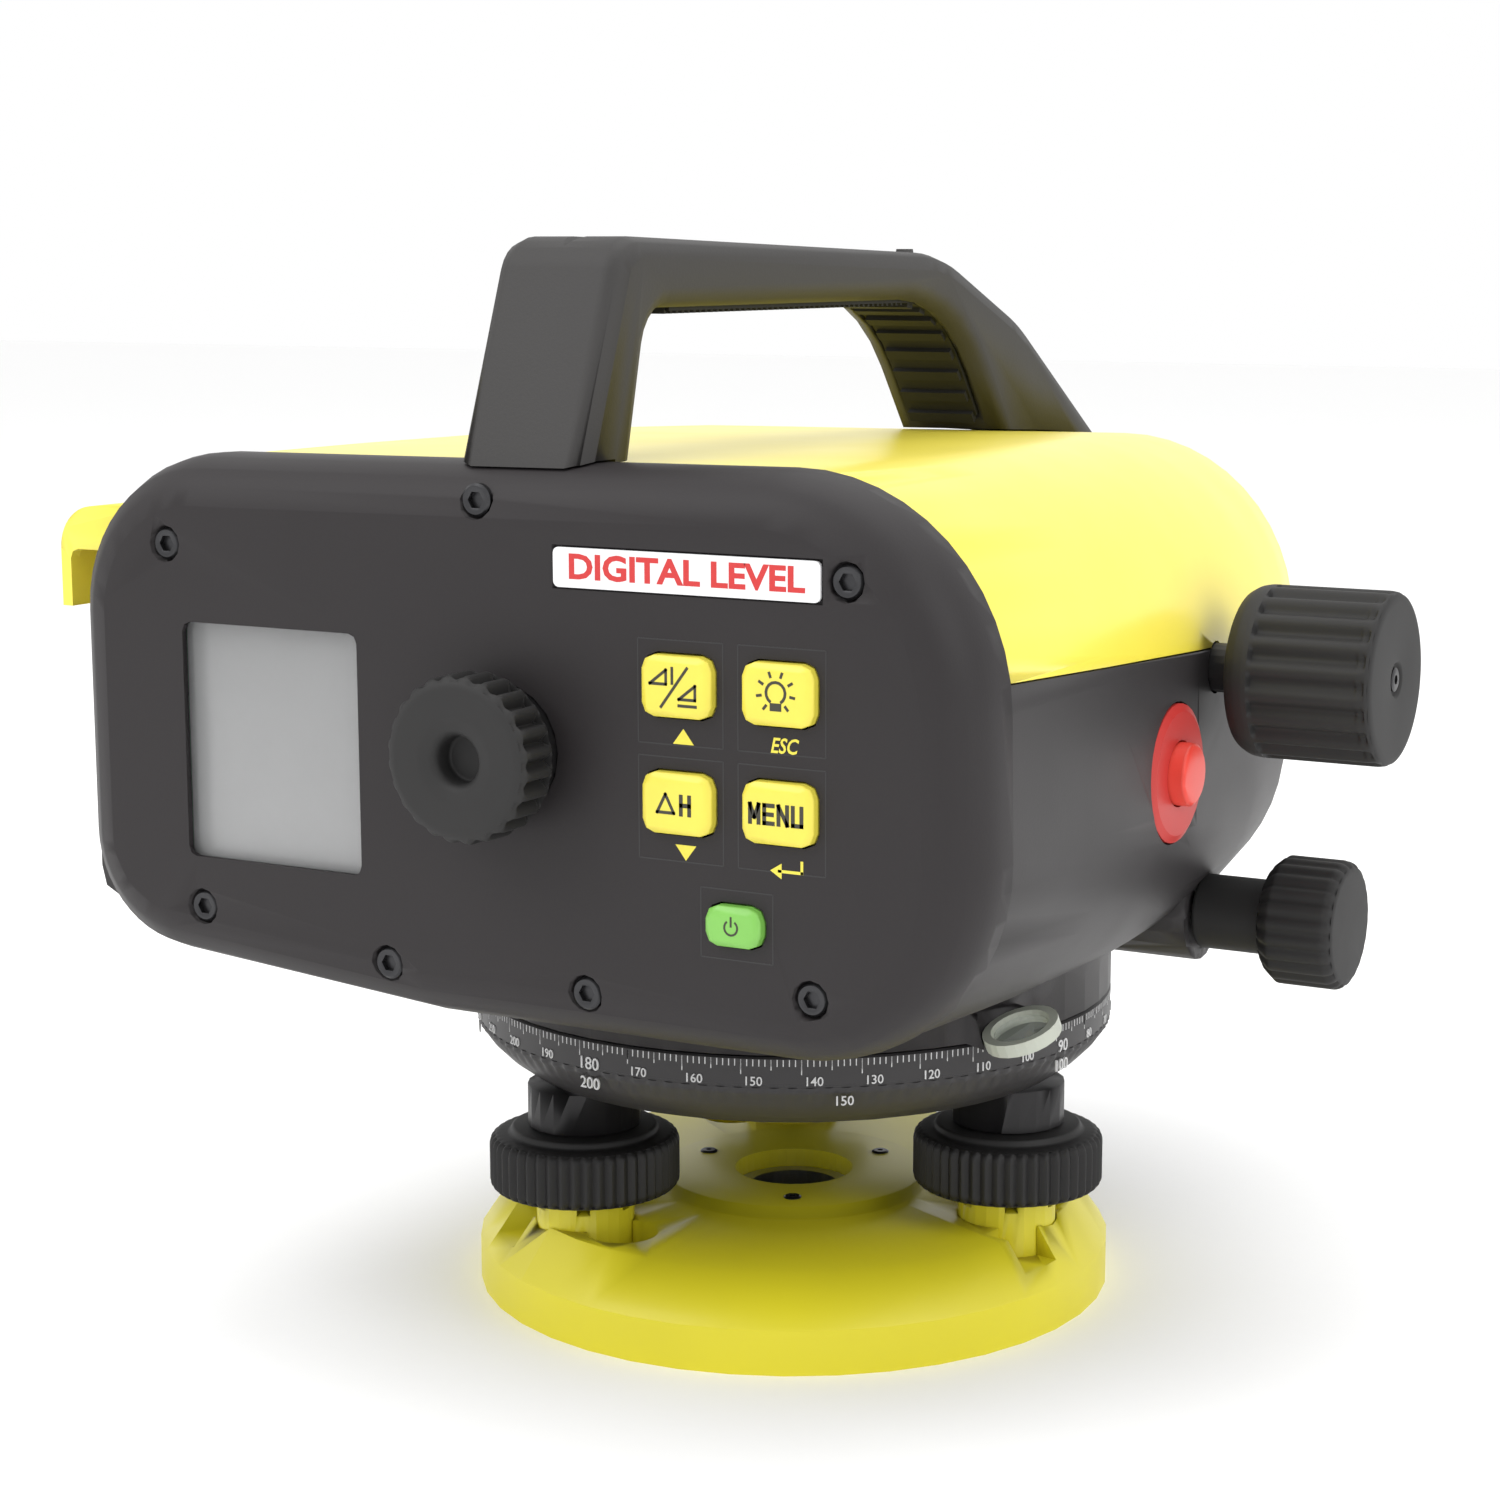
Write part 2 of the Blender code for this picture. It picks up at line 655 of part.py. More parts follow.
def make_foot_screw(letter, root):
    x, y = foot_place(letter)
    ball_low = POCKET_FLOOR + 2 * GAP
    ball_high = ball_low + BALL_HEIGHT
    chamfer = 1.4
    collar_low = FOOT_KNOB_HIGH - 1.2
    spindle_high = HEAD_TOP - SLEEVE_ROOF - 1.0
    profile = (
        (0, ball_low), (BALL_RADIUS - 1.6, ball_low), (BALL_RADIUS, ball_low + BALL_HEIGHT / 2),
        (SPINDLE_RADIUS, ball_high), (SPINDLE_RADIUS, FOOT_KNOB_LOW), (FOOT_KNOB_RADIUS - 2.6, FOOT_KNOB_LOW),
        (FOOT_KNOB_RADIUS, FOOT_KNOB_LOW + 2.2, FOOT_RIB_DEPTH),
        (FOOT_KNOB_RADIUS, collar_low - chamfer, FOOT_RIB_DEPTH),
        (FOOT_KNOB_RADIUS - chamfer, collar_low), (FOOT_KNOB_COLLAR, collar_low),
        (FOOT_KNOB_COLLAR, FOOT_KNOB_HIGH),
        (SPINDLE_RADIUS, FOOT_KNOB_HIGH), (SPINDLE_RADIUS, spindle_high), (0, spindle_high),
    )
    turned(f"foot_screw_{letter}", profile, "Z", "black_rubber", root, (x, y, 0), sides=2 * FOOT_RIBS)


def make_head(root):
    """Upper part of the tribrach: a disc with three threaded sleeves and the hub of the standing axis."""
    disc_radius = RING_INNER - GAP
    low = RING_LOW - 2 * GAP
    bore = BUSH_RADIUS + GAP
    hub_top = DRIVE_Z + WHEEL_THICK / 2 + GAP
    profile = (
        (bore, low), (disc_radius, low), (disc_radius, HEAD_TOP), (HUB_RADIUS, HEAD_TOP),
        (HUB_RADIUS, hub_top), (bore, hub_top),
    )
    head = turned("tribrach_head", profile, "Z", "black_metal", root, sides=32, loop=True)
    for letter in FOOT_ANGLES:
        x, y = foot_place(letter)
        sleeve_low = FOOT_KNOB_HIGH + GAP
        join(head, round_cutter(f"sleeve_{letter}", SLEEVE_RADIUS, "Z", sleeve_low, low, (x, y, 0)))
        bore_high = HEAD_TOP - SLEEVE_ROOF
        spindle_bore = disc(SPINDLE_RADIUS + RUN, sleeve_low - 1, bore_high)
        cut(head, turned(f"spindle_bore_{letter}", spindle_bore, "Z", at=(x, y, 0), sides=16))
    bush = tube(AXLE_RADIUS + RUN, BUSH_RADIUS, low + GAP, hub_top - GAP)
    turned("axis_bush", bush, "Z", "brass", root, sides=24, loop=True)


def make_circle(root):
    mid = (RING_RADIUS + RING_LOW_RADIUS) / 2
    profile = (
        (RING_INNER, RING_LOW), (RING_LOW_RADIUS, RING_LOW), (mid + 1.4, (RING_LOW + RING_TAPER_TOP) / 2),
        (RING_RADIUS, RING_TAPER_TOP), (RING_RADIUS, RING_HIGH), (RING_INNER, RING_HIGH),
    )
    turned("circle_ring", profile, "Z", "dark_shell", root, sides=48, loop=True)


def make_worm_wheel(parent):
    """Wheel clamped by friction on the hub. One tooth points at the worm."""
    sides = 2 * WHEEL_TEETH
    tip = WHEEL_PITCH_RADIUS + TOOTH_HEIGHT - TOOTH_CLEARANCE / 2
    depth = 2 * TOOTH_HEIGHT
    low = DRIVE_Z - WHEEL_THICK / 2
    high = DRIVE_Z + WHEEL_THICK / 2
    bore = HUB_RADIUS + RUN
    profile = ((bore, low), (tip, low, depth), (tip, high, depth), (bore, high))
    turned("worm_wheel", profile, "Z", "brass", parent, sides=sides, loop=True)


def worm_radius(along, angle):
    """Radius of the thread at a place along the worm: a triangle wave that follows the helix."""
    pitch = math.tau * WHEEL_PITCH_RADIUS / WHEEL_TEETH
    phase = (along / pitch - angle / math.tau) % 1.0
    height = 1.0 - 4.0 * abs(phase - 0.5)
    crest = WORM_PITCH_RADIUS - TOOTH_CLEARANCE
    return crest - TOOTH_HEIGHT * height if abs(along) < WORM_LENGTH / 2 - pitch / 2 else crest - TOOTH_HEIGHT


def make_drive(parent):
    """Shaft with its worm, one mesh from end to end, and the knob on it."""
    pitch = math.tau * WHEEL_PITCH_RADIUS / WHEEL_TEETH
    count = int(WORM_LENGTH / pitch * WORM_ROWS_PER_PITCH)
    sides = 12
    rings = []
    for along in (-EAR_FAR + GAP, -WORM_LENGTH / 2 - GAP):
        rings.append([(along, SHAFT_RADIUS)] * sides)
    for index in range(count + 1):
        along = WORM_LENGTH * (index / count - 0.5)
        rings.append([(along, worm_radius(along, math.tau * side / sides)) for side in range(sides)])
    knob_inner = DRIVE_KNOB_END - 4.0
    for along in (WORM_LENGTH / 2 + GAP, knob_inner - GAP):
        rings.append([(along, SHAFT_RADIUS)] * sides)
    points = [
        [on_axis("X", radius, along, math.tau * side / sides) for side, (along, radius) in enumerate(ring)]
        for ring in rings
    ]
    centre = Vector((0, DRIVE_Y, DRIVE_Z))
    moved = [[Vector(point) + centre for point in ring] for ring in points]
    loft("drive_shaft", moved, "steel", parent, centre)
    neck_start = ARM_END + GAP
    bore = SHAFT_RADIUS + GAP
    profile = (
        (bore, neck_start), (DRIVE_NECK_RADIUS, neck_start), (DRIVE_NECK_RADIUS, DRIVE_KNOB_START),
        (DRIVE_KNOB_RADIUS - 2.4, DRIVE_KNOB_START),
        (DRIVE_KNOB_RADIUS, DRIVE_KNOB_START + 2.4, DRIVE_RIB_DEPTH),
        (DRIVE_KNOB_RADIUS, DRIVE_KNOB_END - 0.8, DRIVE_RIB_DEPTH), (DRIVE_KNOB_RADIUS - 0.8, DRIVE_KNOB_END),
        (0, DRIVE_KNOB_END), (0, knob_inner), (bore, knob_inner),
    )
    turned("drive_knob", profile, "X", "black_rubber", parent, centre, sides=2 * DRIVE_RIBS, loop=True)


def make_axle(parent):
    flange_high = BRIDGE_LOW - GAP
    flange_low = flange_high - AXLE_FLANGE_THICK
    foot = RING_LOW - 2 * GAP
    nut_low = foot - GAP - AXLE_NUT_HEIGHT
    stub_low = nut_low + GAP
    profile = (
        (0, stub_low), (AXLE_STUB_RADIUS, stub_low), (AXLE_STUB_RADIUS, foot), (AXLE_RADIUS, foot),
        (AXLE_RADIUS, flange_low), (AXLE_FLANGE_RADIUS, flange_low), (AXLE_FLANGE_RADIUS, flange_high),
        (AXLE_RADIUS - 1, flange_high), (AXLE_RADIUS - 1, BRIDGE_HIGH - GAP), (0, BRIDGE_HIGH - GAP),
    )
    turned("vertical_axle", profile, "Z", "steel", parent, sides=24)
    nut = (
        (AXLE_STUB_RADIUS + GAP, nut_low), (AXLE_NUT_RADIUS - 3, nut_low),
        (AXLE_NUT_RADIUS, foot - GAP - 1.5),
        (AXLE_NUT_RADIUS, foot - GAP), (AXLE_STUB_RADIUS + GAP, foot - GAP),
    )
    turned("axle_nut", nut, "Z", "black_metal", parent, sides=24, loop=True)


def make_chassis(parent):
    """Cast frame on the turret's floor: a bridge for the axle and two ears for the drive shaft."""
    low = RING_HIGH + GAP + TURRET_FLOOR + GAP
    high = low + CHASSIS_THICK
    radius = RING_RADIUS - WALL - GAP
    chassis = turned(
        "chassis", tube(CHASSIS_HOLE, radius, low, high), "Z", "aluminium", parent, sides=40, loop=True
    )
    outline = (
        (-PILLAR_FAR, high - 1), (-PILLAR_NEAR, high - 1), (-PILLAR_NEAR, BRIDGE_LOW),
        (PILLAR_NEAR, BRIDGE_LOW),
        (PILLAR_NEAR, high - 1), (PILLAR_FAR, high - 1), (PILLAR_FAR, BRIDGE_HIGH),
        (-PILLAR_FAR, BRIDGE_HIGH),
    )
    bridge = prism("bridge", outline, "Y", -PILLAR_HALF, PILLAR_HALF)
    join(chassis, bridge)
    for side in (-1, 1):
        near, far = sorted((side * EAR_NEAR, side * EAR_FAR))
        ear = block(
            f"ear_{side}", (near, DRIVE_Y - EAR_HALF, high - 1),
            (far, DRIVE_Y + EAR_HALF, DRIVE_Z + EAR_HALF),
        )
        join(chassis, ear)
    shaft_hole = SHAFT_RADIUS + RUN
    cut(chassis, round_cutter("ear_bore", shaft_hole, "X", -REACH, REACH, (0, DRIVE_Y, DRIVE_Z)))
    cut(
        chassis,
        round_cutter("axle_seat", AXLE_RADIUS - 1 + GAP, "Z", BRIDGE_LOW - 1, BRIDGE_HIGH + 1, (0, 0, 0)),
    )


def make_shells(parent):
    """Yellow top cover and dark lower housing, cut from one hollow form along a falling line."""
    opening = SEAM_Y - 1
    turret_low = RING_HIGH + GAP
    turret = turned("turret", disc(RING_RADIUS, turret_low, TURRET_TOP), "Z", sides=48)
    hollow_high = TURRET_TOP + TURRET_OPEN
    floor_high = turret_low + TURRET_FLOOR
    hollow_profile = (
        (0, turret_low - 1), (CHASSIS_HOLE + 1, turret_low - 1), (CHASSIS_HOLE + 1, floor_high),
        (RING_RADIUS - WALL, floor_high), (RING_RADIUS - WALL, hollow_high), (0, hollow_high),
    )
    turret_hollow = turned("turret_hollow", hollow_profile, "Z", sides=40)
    inner = body_solid("body_inside", WALL, opening)
    arm = round_cutter("drive_arm", ARM_RADIUS, "X", ARM_END - 20, ARM_END, (0, DRIVE_Y, DRIVE_Z))
    passage_profile = (
        (0, EAR_FAR), (SHAFT_RADIUS + RUN, EAR_FAR), (SHAFT_RADIUS + RUN, ARM_END - DRIVE_SEAT),
        (DRIVE_NECK_RADIUS + GAP, ARM_END - DRIVE_SEAT), (DRIVE_NECK_RADIUS + GAP, ARM_END + REACH),
        (0, ARM_END + REACH),
    )
    passage = turned("drive_passage", passage_profile, "X", at=(0, DRIVE_Y, DRIVE_Z), sides=24)
    objective = round_cutter(
        "objective_opening", OBJECTIVE_RING_RADIUS + GAP, "Y", REACH, 3 * REACH, (0, 0, SCOPE_Z), 32
    )
    focus = round_cutter(
        "focus_opening", FOCUS_BUSH_RADIUS + GAP, "X", REACH, 2 * REACH, (0, FOCUS_Y, FOCUS_Z)
    )
    trigger = round_cutter(
        "trigger_opening", BEZEL_RADIUS + GAP, "X", REACH, 2 * REACH, (0, TRIGGER_Y, TRIGGER_Z), 32
    )
    battery_low = (DOOR_OUT - REACH, DOOR_REAR + DOOR_END_RIM, DOOR_LOW + DOOR_RIM)
    battery_high = (HOOD_IN, DOOR_FRONT - DOOR_END_RIM, DOOR_HIGH - DOOR_RIM)
    battery = block("battery_opening", battery_low, battery_high)
    lens_pocket = turned(
        "lens_pocket", disc(LENS_RING_RADIUS + GAP, -LENS_HALF - GAP, 8), "Z", at=LENS_PLACE, sides=24
    )
    aim(lens_pocket, LENS_NORMAL)
    lug_far = RING_RADIUS + LENS_OUT - LENS_RING_RADIUS / 2
    lug_high = LENS_PLACE[2] + 2 * LENS_HALF
    lug = turned_block("lens_lug", RING_RADIUS - WALL, lug_far, LUG_HALF, turret_low, lug_high, LENS_ANGLE)
    above = half_space("above_split", True, -GAP / 2)
    below = half_space("below_split", False, GAP / 2)
    housing = body_solid("lower_housing", 0.0, SEAM_Y, "dark_shell", parent)
    join(housing, turret, arm, lug)
    cut(housing, inner, turret_hollow, above, passage, objective, focus, trigger, battery, lens_pocket)
    cover = body_solid("upper_cover", 0.0, SEAM_Y, "yellow_shell", parent)
    cut(cover, inner, below, objective, focus)


def aim(obj, direction):
    obj.rotation_mode = "QUATERNION"
    obj.rotation_quaternion = Vector(direction).to_track_quat("Z", "Y")
    return obj


def key_places():
    names = iter(("height", "menu", "sight", "light"))
    for z in KEY_ROWS:
        for x in KEY_COLUMNS:
            yield f"key_{next(names)}", x, z, KEY_WIDTH, KEY_HEIGHT, "yellow_key"
    yield "key_power", *POWER_PLACE, POWER_WIDTH, POWER_HEIGHT, "green_key"


def key_outline(x, z, width, height, grow):
    w = width / 2 + grow
    h = height / 2 + grow
    radius = max(KEY_ROUND + grow, 0.5)
    corners = ((x - w, z - h, radius), (x + w, z - h, radius), (x + w, z + h, radius), (x - w, z + h, radius))
    return rounded(corners, 2)


def display_outline(grow, radius):
    left, right = DISPLAY["left"] - grow, DISPLAY["right"] + grow
    low, high = DISPLAY["low"] - grow, DISPLAY["high"] + grow
    return rounded(
        ((left, low, radius), (right, low, radius), (right, high, radius), (left, high, radius)), 2
    )


def make_panel(parent):
    inside = FACE_Y + WALL
    panel = panel_solid("control_panel", 0.0, SEAM_Y - GAP, "dark_panel", parent)
    cut(panel, panel_solid("panel_inside", WALL, SEAM_Y + 1))
    cut(panel, prism("display_opening", display_outline(0, WINDOW_ROUND), "Y", FACE_Y - 1, inside + 1))
    window_front = FACE_Y + DISPLAY_DEPTH
    pocket = display_outline(WINDOW_LIP + GAP, WINDOW_ROUND)
    cut(panel, prism("window_pocket", pocket, "Y", window_front - GAP, inside + 1))
    for name, x, z, width, height, _ in key_places():
        outline = key_outline(x, z, width, height, GAP)
        cut(panel, prism(f"opening_{name}", outline, "Y", FACE_Y - 1, inside + 1))
    cut(
        panel,
        round_cutter("eyepiece_opening", EYE_TUBE_RADIUS + GAP, "Y", FACE_Y - 1, inside + 1, (0, 0, SCOPE_Z)),
    )
    for index, (x, z) in enumerate(SCREW_PLACES):
        well = round_cutter(
            f"screw_well_{index}", SCREW_WELL_RADIUS, "Y", FACE_Y - 1, FACE_Y + SCREW_WELL_DEPTH, (x, 0, z),
            12,
        )
        cut(panel, well)
    label_low = (LABEL["left"] - GAP, FACE_Y - 1, LABEL["low"] - GAP)
    label_high = (LABEL["right"] + GAP, FACE_Y + LABEL_SINK + GAP, LABEL["high"] + GAP)
    cut(panel, block("label_pocket", label_low, label_high))
    label_front = FACE_Y + LABEL_SINK - LABEL_THICK
    block(
        "label_plate", (LABEL["left"], label_front, LABEL["low"]),
        (LABEL["right"], FACE_Y + LABEL_SINK, LABEL["high"]), "white_label", parent,
    )
    window_back = window_front + WINDOW_THICK
    window = display_outline(WINDOW_LIP, WINDOW_ROUND)
    prism("display_window", window, "Y", window_front, window_back, "clear_glass", parent)
    module_front = window_back + GAP
    module = display_outline(WINDOW_LIP, 0)
    prism("display_module", module, "Y", module_front, module_front + MODULE_THICK, "display_grey", parent)


def make_board(parent):
    """Main circuit board behind the panel, with a hole for the eyepiece tube."""
    rings = [panel_section(y, WALL + BOARD_MARGIN) for y in (BOARD_BACK - BOARD_THICK, BOARD_BACK)]
    board = loft("main_board", rings, "circuit_green", parent)
    hole = EYE_TUBE_RADIUS + BOARD_MARGIN
    cut(board, round_cutter("board_hole", hole, "Y", BOARD_BACK - REACH, BOARD_BACK + REACH, (0, 0, SCOPE_Z)))


def make_keys(parent):
    inside = FACE_Y + WALL
    for name, x, z, width, height, finish in key_places():
        at = (x, FACE_Y, z)
        rings = []
        front = FACE_Y - KEY_PROUD
        flange = inside + GAP
        for y, grow in (
            (front, -0.9), (front + 0.5, -0.1), (front + 0.9, 0.0), (flange, 0.0), (flange, KEY_FLANGE)
        ):
            rings.append([(u, y, v) for u, v in key_outline(x, z, width, height, grow)])
        flange_back = flange + KEY_FLANGE_THICK
        rings.append([(u, flange_back, v) for u, v in key_outline(x, z, width, height, KEY_FLANGE)])
        for y in (flange_back, BOARD_BACK - BOARD_THICK - KEY_TRAVEL - GAP):
            rings.append([(u, y, v) for u, v in key_outline(x, z, width, height, -KEY_STEM)])
        loft(name, rings, finish, parent, at)


def grip_corners(offset, rear, run):
    """Start, bend and end of the handle's inner line, moved into the handle by 'offset'."""
    turn = math.radians(GRIP_TURN)
    start = (rear, GRIP_Z + offset, 0.0)
    bend = (GRIP_BEND_Y + offset * math.tan(turn / 2), GRIP_Z + offset, GRIP_BEND_RADIUS + offset)
    end_y = GRIP_BEND_Y + run * math.cos(turn) + offset * math.sin(turn)
    end_z = GRIP_Z - run * math.sin(turn) + offset * math.cos(turn)
    return start, bend, (end_y, end_z, 0.0)


def grip_strip(name, low, high, half, longer, finish=None, parent=None):
    run = GRIP_RUN + longer
    rear = GRIP_REAR - longer
    corners = grip_corners(low, rear, run) + tuple(reversed(grip_corners(high, rear, run)))
    return prism(name, rounded(corners, 8), "X", -half, half, finish, parent)


def make_handle(parent):
    """Carrying handle whose feet follow the cover and the panel. Its top holds an open sight."""
    foot_z = FACE_TOP - 6.0
    rear_y = SEAM_Y - 10.0
    _, bend, _ = grip_corners(0, 0, 0)
    turn = math.radians(GRIP_TURN)
    inner_foot = (GRIP_BEND_Y + (GRIP_Z - foot_z) / math.tan(turn), foot_z, 0.0)
    outline = (
        (rear_y, foot_z, 0.0), (SEAM_Y + 4.4, HANDLE_TOP, 7.0), (GRIP_BEND_Y - 4.6, HANDLE_TOP - 2.8, 40.0),
        (GRIP_BEND_Y + 27.4, HANDLE_TOP - 15.0, 50.0), (FRONT_Y - 6.0, foot_z - 4.0, 0.0), inner_foot, bend,
        (SEAM_Y + 12.0, GRIP_Z, 7.0), (SEAM_Y + 5.3, foot_z, 0.0),
    )
    handle = prism("handle", rounded(outline, 5), "X", -HANDLE_HALF, HANDLE_HALF, "dark_shell", parent)
    bevel(handle, HANDLE_ROUND, 2, 60.0)
    sight_low = HANDLE_TOP - 6.0
    bump = (
        (SIGHT_Y - 2, sight_low), (SIGHT_Y + 2, sight_low), (SIGHT_Y + 0.5, HANDLE_TOP - 2.0),
        (SIGHT_Y - 0.5, HANDLE_TOP - 2.0),
    )
    join(handle, prism("front_sight", bump, "X", -SIGHT_HALF, SIGHT_HALF))
    notch = ((-2.2, HANDLE_TOP + 1), (0, HANDLE_TOP - 1.6), (2.2, HANDLE_TOP + 1))
    cut(handle, prism("rear_sight", notch, "Y", SEAM_Y - 5, SEAM_Y + 12))
    swollen_body = body_solid("body_clearance", -GAP, SEAM_Y - 1)
    swollen_panel = panel_solid("panel_clearance", -GAP, SEAM_Y + 1)
    cut(handle, swollen_body, swollen_panel)
    cut(handle, grip_strip("grip_pocket", -GRIP_PROUD - 3, GRIP_THICK + GAP, GRIP_HALF + GAP, GAP))
    grip_strip("handle_grip", -GRIP_PROUD, GRIP_THICK, GRIP_HALF, 0.0, "black_rubber", parent)
    return swollen_body, swollen_panel


def make_telescope(parent):
    tube_front = FRONT_Y - OBJECTIVE_RING_LENGTH
    centre = (0, 0, SCOPE_Z)
    wall = tube(TUBE_BORE, TUBE_RADIUS, TUBE_REAR, tube_front - GAP)
    main = turned("telescope_tube", wall, "Y", "black_metal", parent, centre, 32, True)
    hole = PINION_RADIUS + 1.5
    cut(main, round_cutter("pinion_hole", hole, "X", RACK_NEAR - 1, 2 * TUBE_RADIUS, (0, FOCUS_Y, FOCUS_Z)))
    lip = FRONT_Y - OBJECTIVE_LIP
    ring = (
        (TUBE_BORE, tube_front), (OBJECTIVE_RING_RADIUS, tube_front), (OBJECTIVE_RING_RADIUS, FRONT_Y + 0.5),
        (OBJECTIVE_RING_RADIUS - 1.2, FRONT_Y + 0.5), (TUBE_BORE - 0.4, lip + 1.0), (TUBE_BORE - 0.4, lip),
        (TUBE_BORE, lip),
    )
    turned("objective_ring", ring, "Y", "black_metal", parent, centre, 32, True)
    lens_front = lip - GAP
    lens_radius = TUBE_BORE - GAP
    lens = (
        (0, lens_front - OBJECTIVE_THICK), (lens_radius, lens_front - OBJECTIVE_THICK + 1.5),
        (lens_radius, lens_front - 1.5), (lens_radius / 2, lens_front - 0.4), (0, lens_front),
    )
    turned("objective_lens", lens, "Y", "clear_glass", parent, centre, 32)


def make_focus(parent, slider, knob):
    centre = (0, FOCUS_Y, FOCUS_Z)
    ring = tube(SLIDER_BORE, TUBE_BORE - RUN, SLIDER_REAR, SLIDER_REAR + SLIDER_LENGTH)
    cell = turned("focus_cell", ring, "Y", "aluminium", slider, (0, 0, SCOPE_Z), 28, True)
    rack_high = FOCUS_Z - PINION_RADIUS - RUN
    rack_low = rack_high - RACK_THICK
    bar_low = (RACK_NEAR, SLIDER_REAR - RACK_LENGTH, rack_low)
    join(cell, block("rack_bar", bar_low, (RACK_FAR, SLIDER_REAR + SLIDER_LENGTH / 4, rack_high)))
    shaft_end = FOCUS_KNOB_END - FOCUS_SHAFT_SEAT
    shaft = (
        (0, RACK_NEAR), (PINION_RADIUS, RACK_NEAR), (PINION_RADIUS, RACK_FAR), (FOCUS_SHAFT_RADIUS, RACK_FAR),
        (FOCUS_SHAFT_RADIUS, shaft_end - GAP), (0, shaft_end - GAP),
    )
    turned("focus_shaft", shaft, "X", "steel", knob, centre, 20)
    wall_x = FACE_RIGHT - BODY_STEP
    bush = tube(FOCUS_SHAFT_RADIUS + RUN, FOCUS_BUSH_RADIUS, wall_x - 8.0, FOCUS_KNOB_START - 2 * GAP)
    turned("focus_bush", bush, "X", "brass", parent, centre, 20, True)
    bore = FOCUS_SHAFT_RADIUS + GAP
    flange_end = FOCUS_KNOB_START + FOCUS_FLANGE
    grip_end = FOCUS_KNOB_END - 1.2
    profile = (
        (bore, FOCUS_KNOB_START), (FOCUS_KNOB_RADIUS - 3.0, FOCUS_KNOB_START),
        (FOCUS_KNOB_RADIUS - 0.5, FOCUS_KNOB_START + 2.5),
        (FOCUS_KNOB_RADIUS, flange_end), (FOCUS_KNOB_RADIUS, flange_end + 1.0, FOCUS_RIB_DEPTH),
        (FOCUS_KNOB_RADIUS, grip_end, FOCUS_RIB_DEPTH), (FOCUS_KNOB_RADIUS - 1.2, FOCUS_KNOB_END),
        (0, FOCUS_KNOB_END), (0, shaft_end), (bore, shaft_end),
    )
    turned("focus_knob", profile, "X", "black_rubber", knob, centre, 2 * FOCUS_RIBS, True)


def make_eyepiece(parent, ring_holder, lens_holder):
    centre = (0, 0, SCOPE_Z)
    ring_front = EYE_END + EYE_LENGTH
    back_wall = EYE_END + 2.0
    bore = EYE_TUBE_RADIUS + RUN
    profile = (
        (EYE_HOLE, EYE_END + 1.0), (EYE_HOLE + 2.5, EYE_END), (EYE_RADIUS - 0.8, EYE_END, EYE_RIB_DEPTH),
        (EYE_RADIUS, EYE_END + 0.8, EYE_RIB_DEPTH), (EYE_RADIUS, ring_front - 0.8, EYE_RIB_DEPTH),
        (EYE_RADIUS - 0.6, ring_front),
        (bore, ring_front), (bore, back_wall), (EYE_HOLE, back_wall),
    )
    turned("eyepiece_ring", profile, "Y", "black_rubber", ring_holder, centre, 2 * EYE_RIBS, True)
    tube_rear = back_wall + GAP
    turned(
        "eyepiece_tube", tube(EYE_TUBE_BORE, EYE_TUBE_RADIUS, tube_rear, EYE_TUBE_FRONT), "Y",
        "black_metal", parent, centre, 28, True,
    )
    lens_rear = tube_rear + 3.0
    lens_radius = EYE_TUBE_BORE - RUN
    lens = (
        (0, lens_rear), (lens_radius, lens_rear + 1.0), (lens_radius, lens_rear + EYE_LENS_THICK),
        (0, lens_rear + EYE_LENS_THICK),
    )
    turned("eyepiece_lens", lens, "Y", "clear_glass", lens_holder, centre, 24)


def make_compensator(parent, swing):
    """Open frame with the hanging prism carrier, between the telescope tube and the eyepiece tube."""
    frame = block(
        "compensator_frame", (-COMP_HALF, COMP_REAR, COMP_LOW), (COMP_HALF, COMP_FRONT, COMP_HIGH),
        "aluminium", parent,
    )
    inside_low = (-COMP_HALF + COMP_WALL, COMP_REAR + COMP_WALL, COMP_LOW + COMP_WALL)
    inside_high = (COMP_HALF + 1, COMP_FRONT - COMP_WALL, COMP_HIGH - COMP_WALL)
    cut(frame, block("compensator_inside", inside_low, inside_high))
    cut(frame, round_cutter("light_path", COMP_WINDOW, "Y", COMP_REAR - 1, COMP_FRONT + 1, (0, 0, SCOPE_Z)))
    half_y = 7.0
    pivot = (0, PENDULUM_Y, PENDULUM_PIVOT_Z)
    low = (-PENDULUM_HALF, PENDULUM_Y - half_y, PENDULUM_LOW)
    pendulum = block(
        "compensator_pendulum", low, (PENDULUM_HALF, PENDULUM_Y + half_y, PENDULUM_HIGH), "aluminium",
        swing, pivot,
    )
    strap_low = (-PENDULUM_HALF + 2, PENDULUM_Y - 0.6, PENDULUM_HIGH - 1)
    join(
        pendulum,
        block("pendulum_strap", strap_low, (PENDULUM_HALF - 2, PENDULUM_Y + 0.6, PENDULUM_PIVOT_Z)),
    )
    cut(
        pendulum,
        round_cutter("pendulum_aperture", COMP_WINDOW - 2, "Y", COMP_REAR, COMP_FRONT, (0, 0, SCOPE_Z)),
    )
    sensor_low = COMP_HIGH + GAP
    sensor_mid = (COMP_REAR + COMP_FRONT) / 2
    low = (-SENSOR_HALF, sensor_mid - SENSOR_HALF, sensor_low)
    block(
        "sensor_board", low, (SENSOR_HALF, sensor_mid + SENSOR_HALF, sensor_low + SENSOR_THICK),
        "circuit_green", parent,
    )


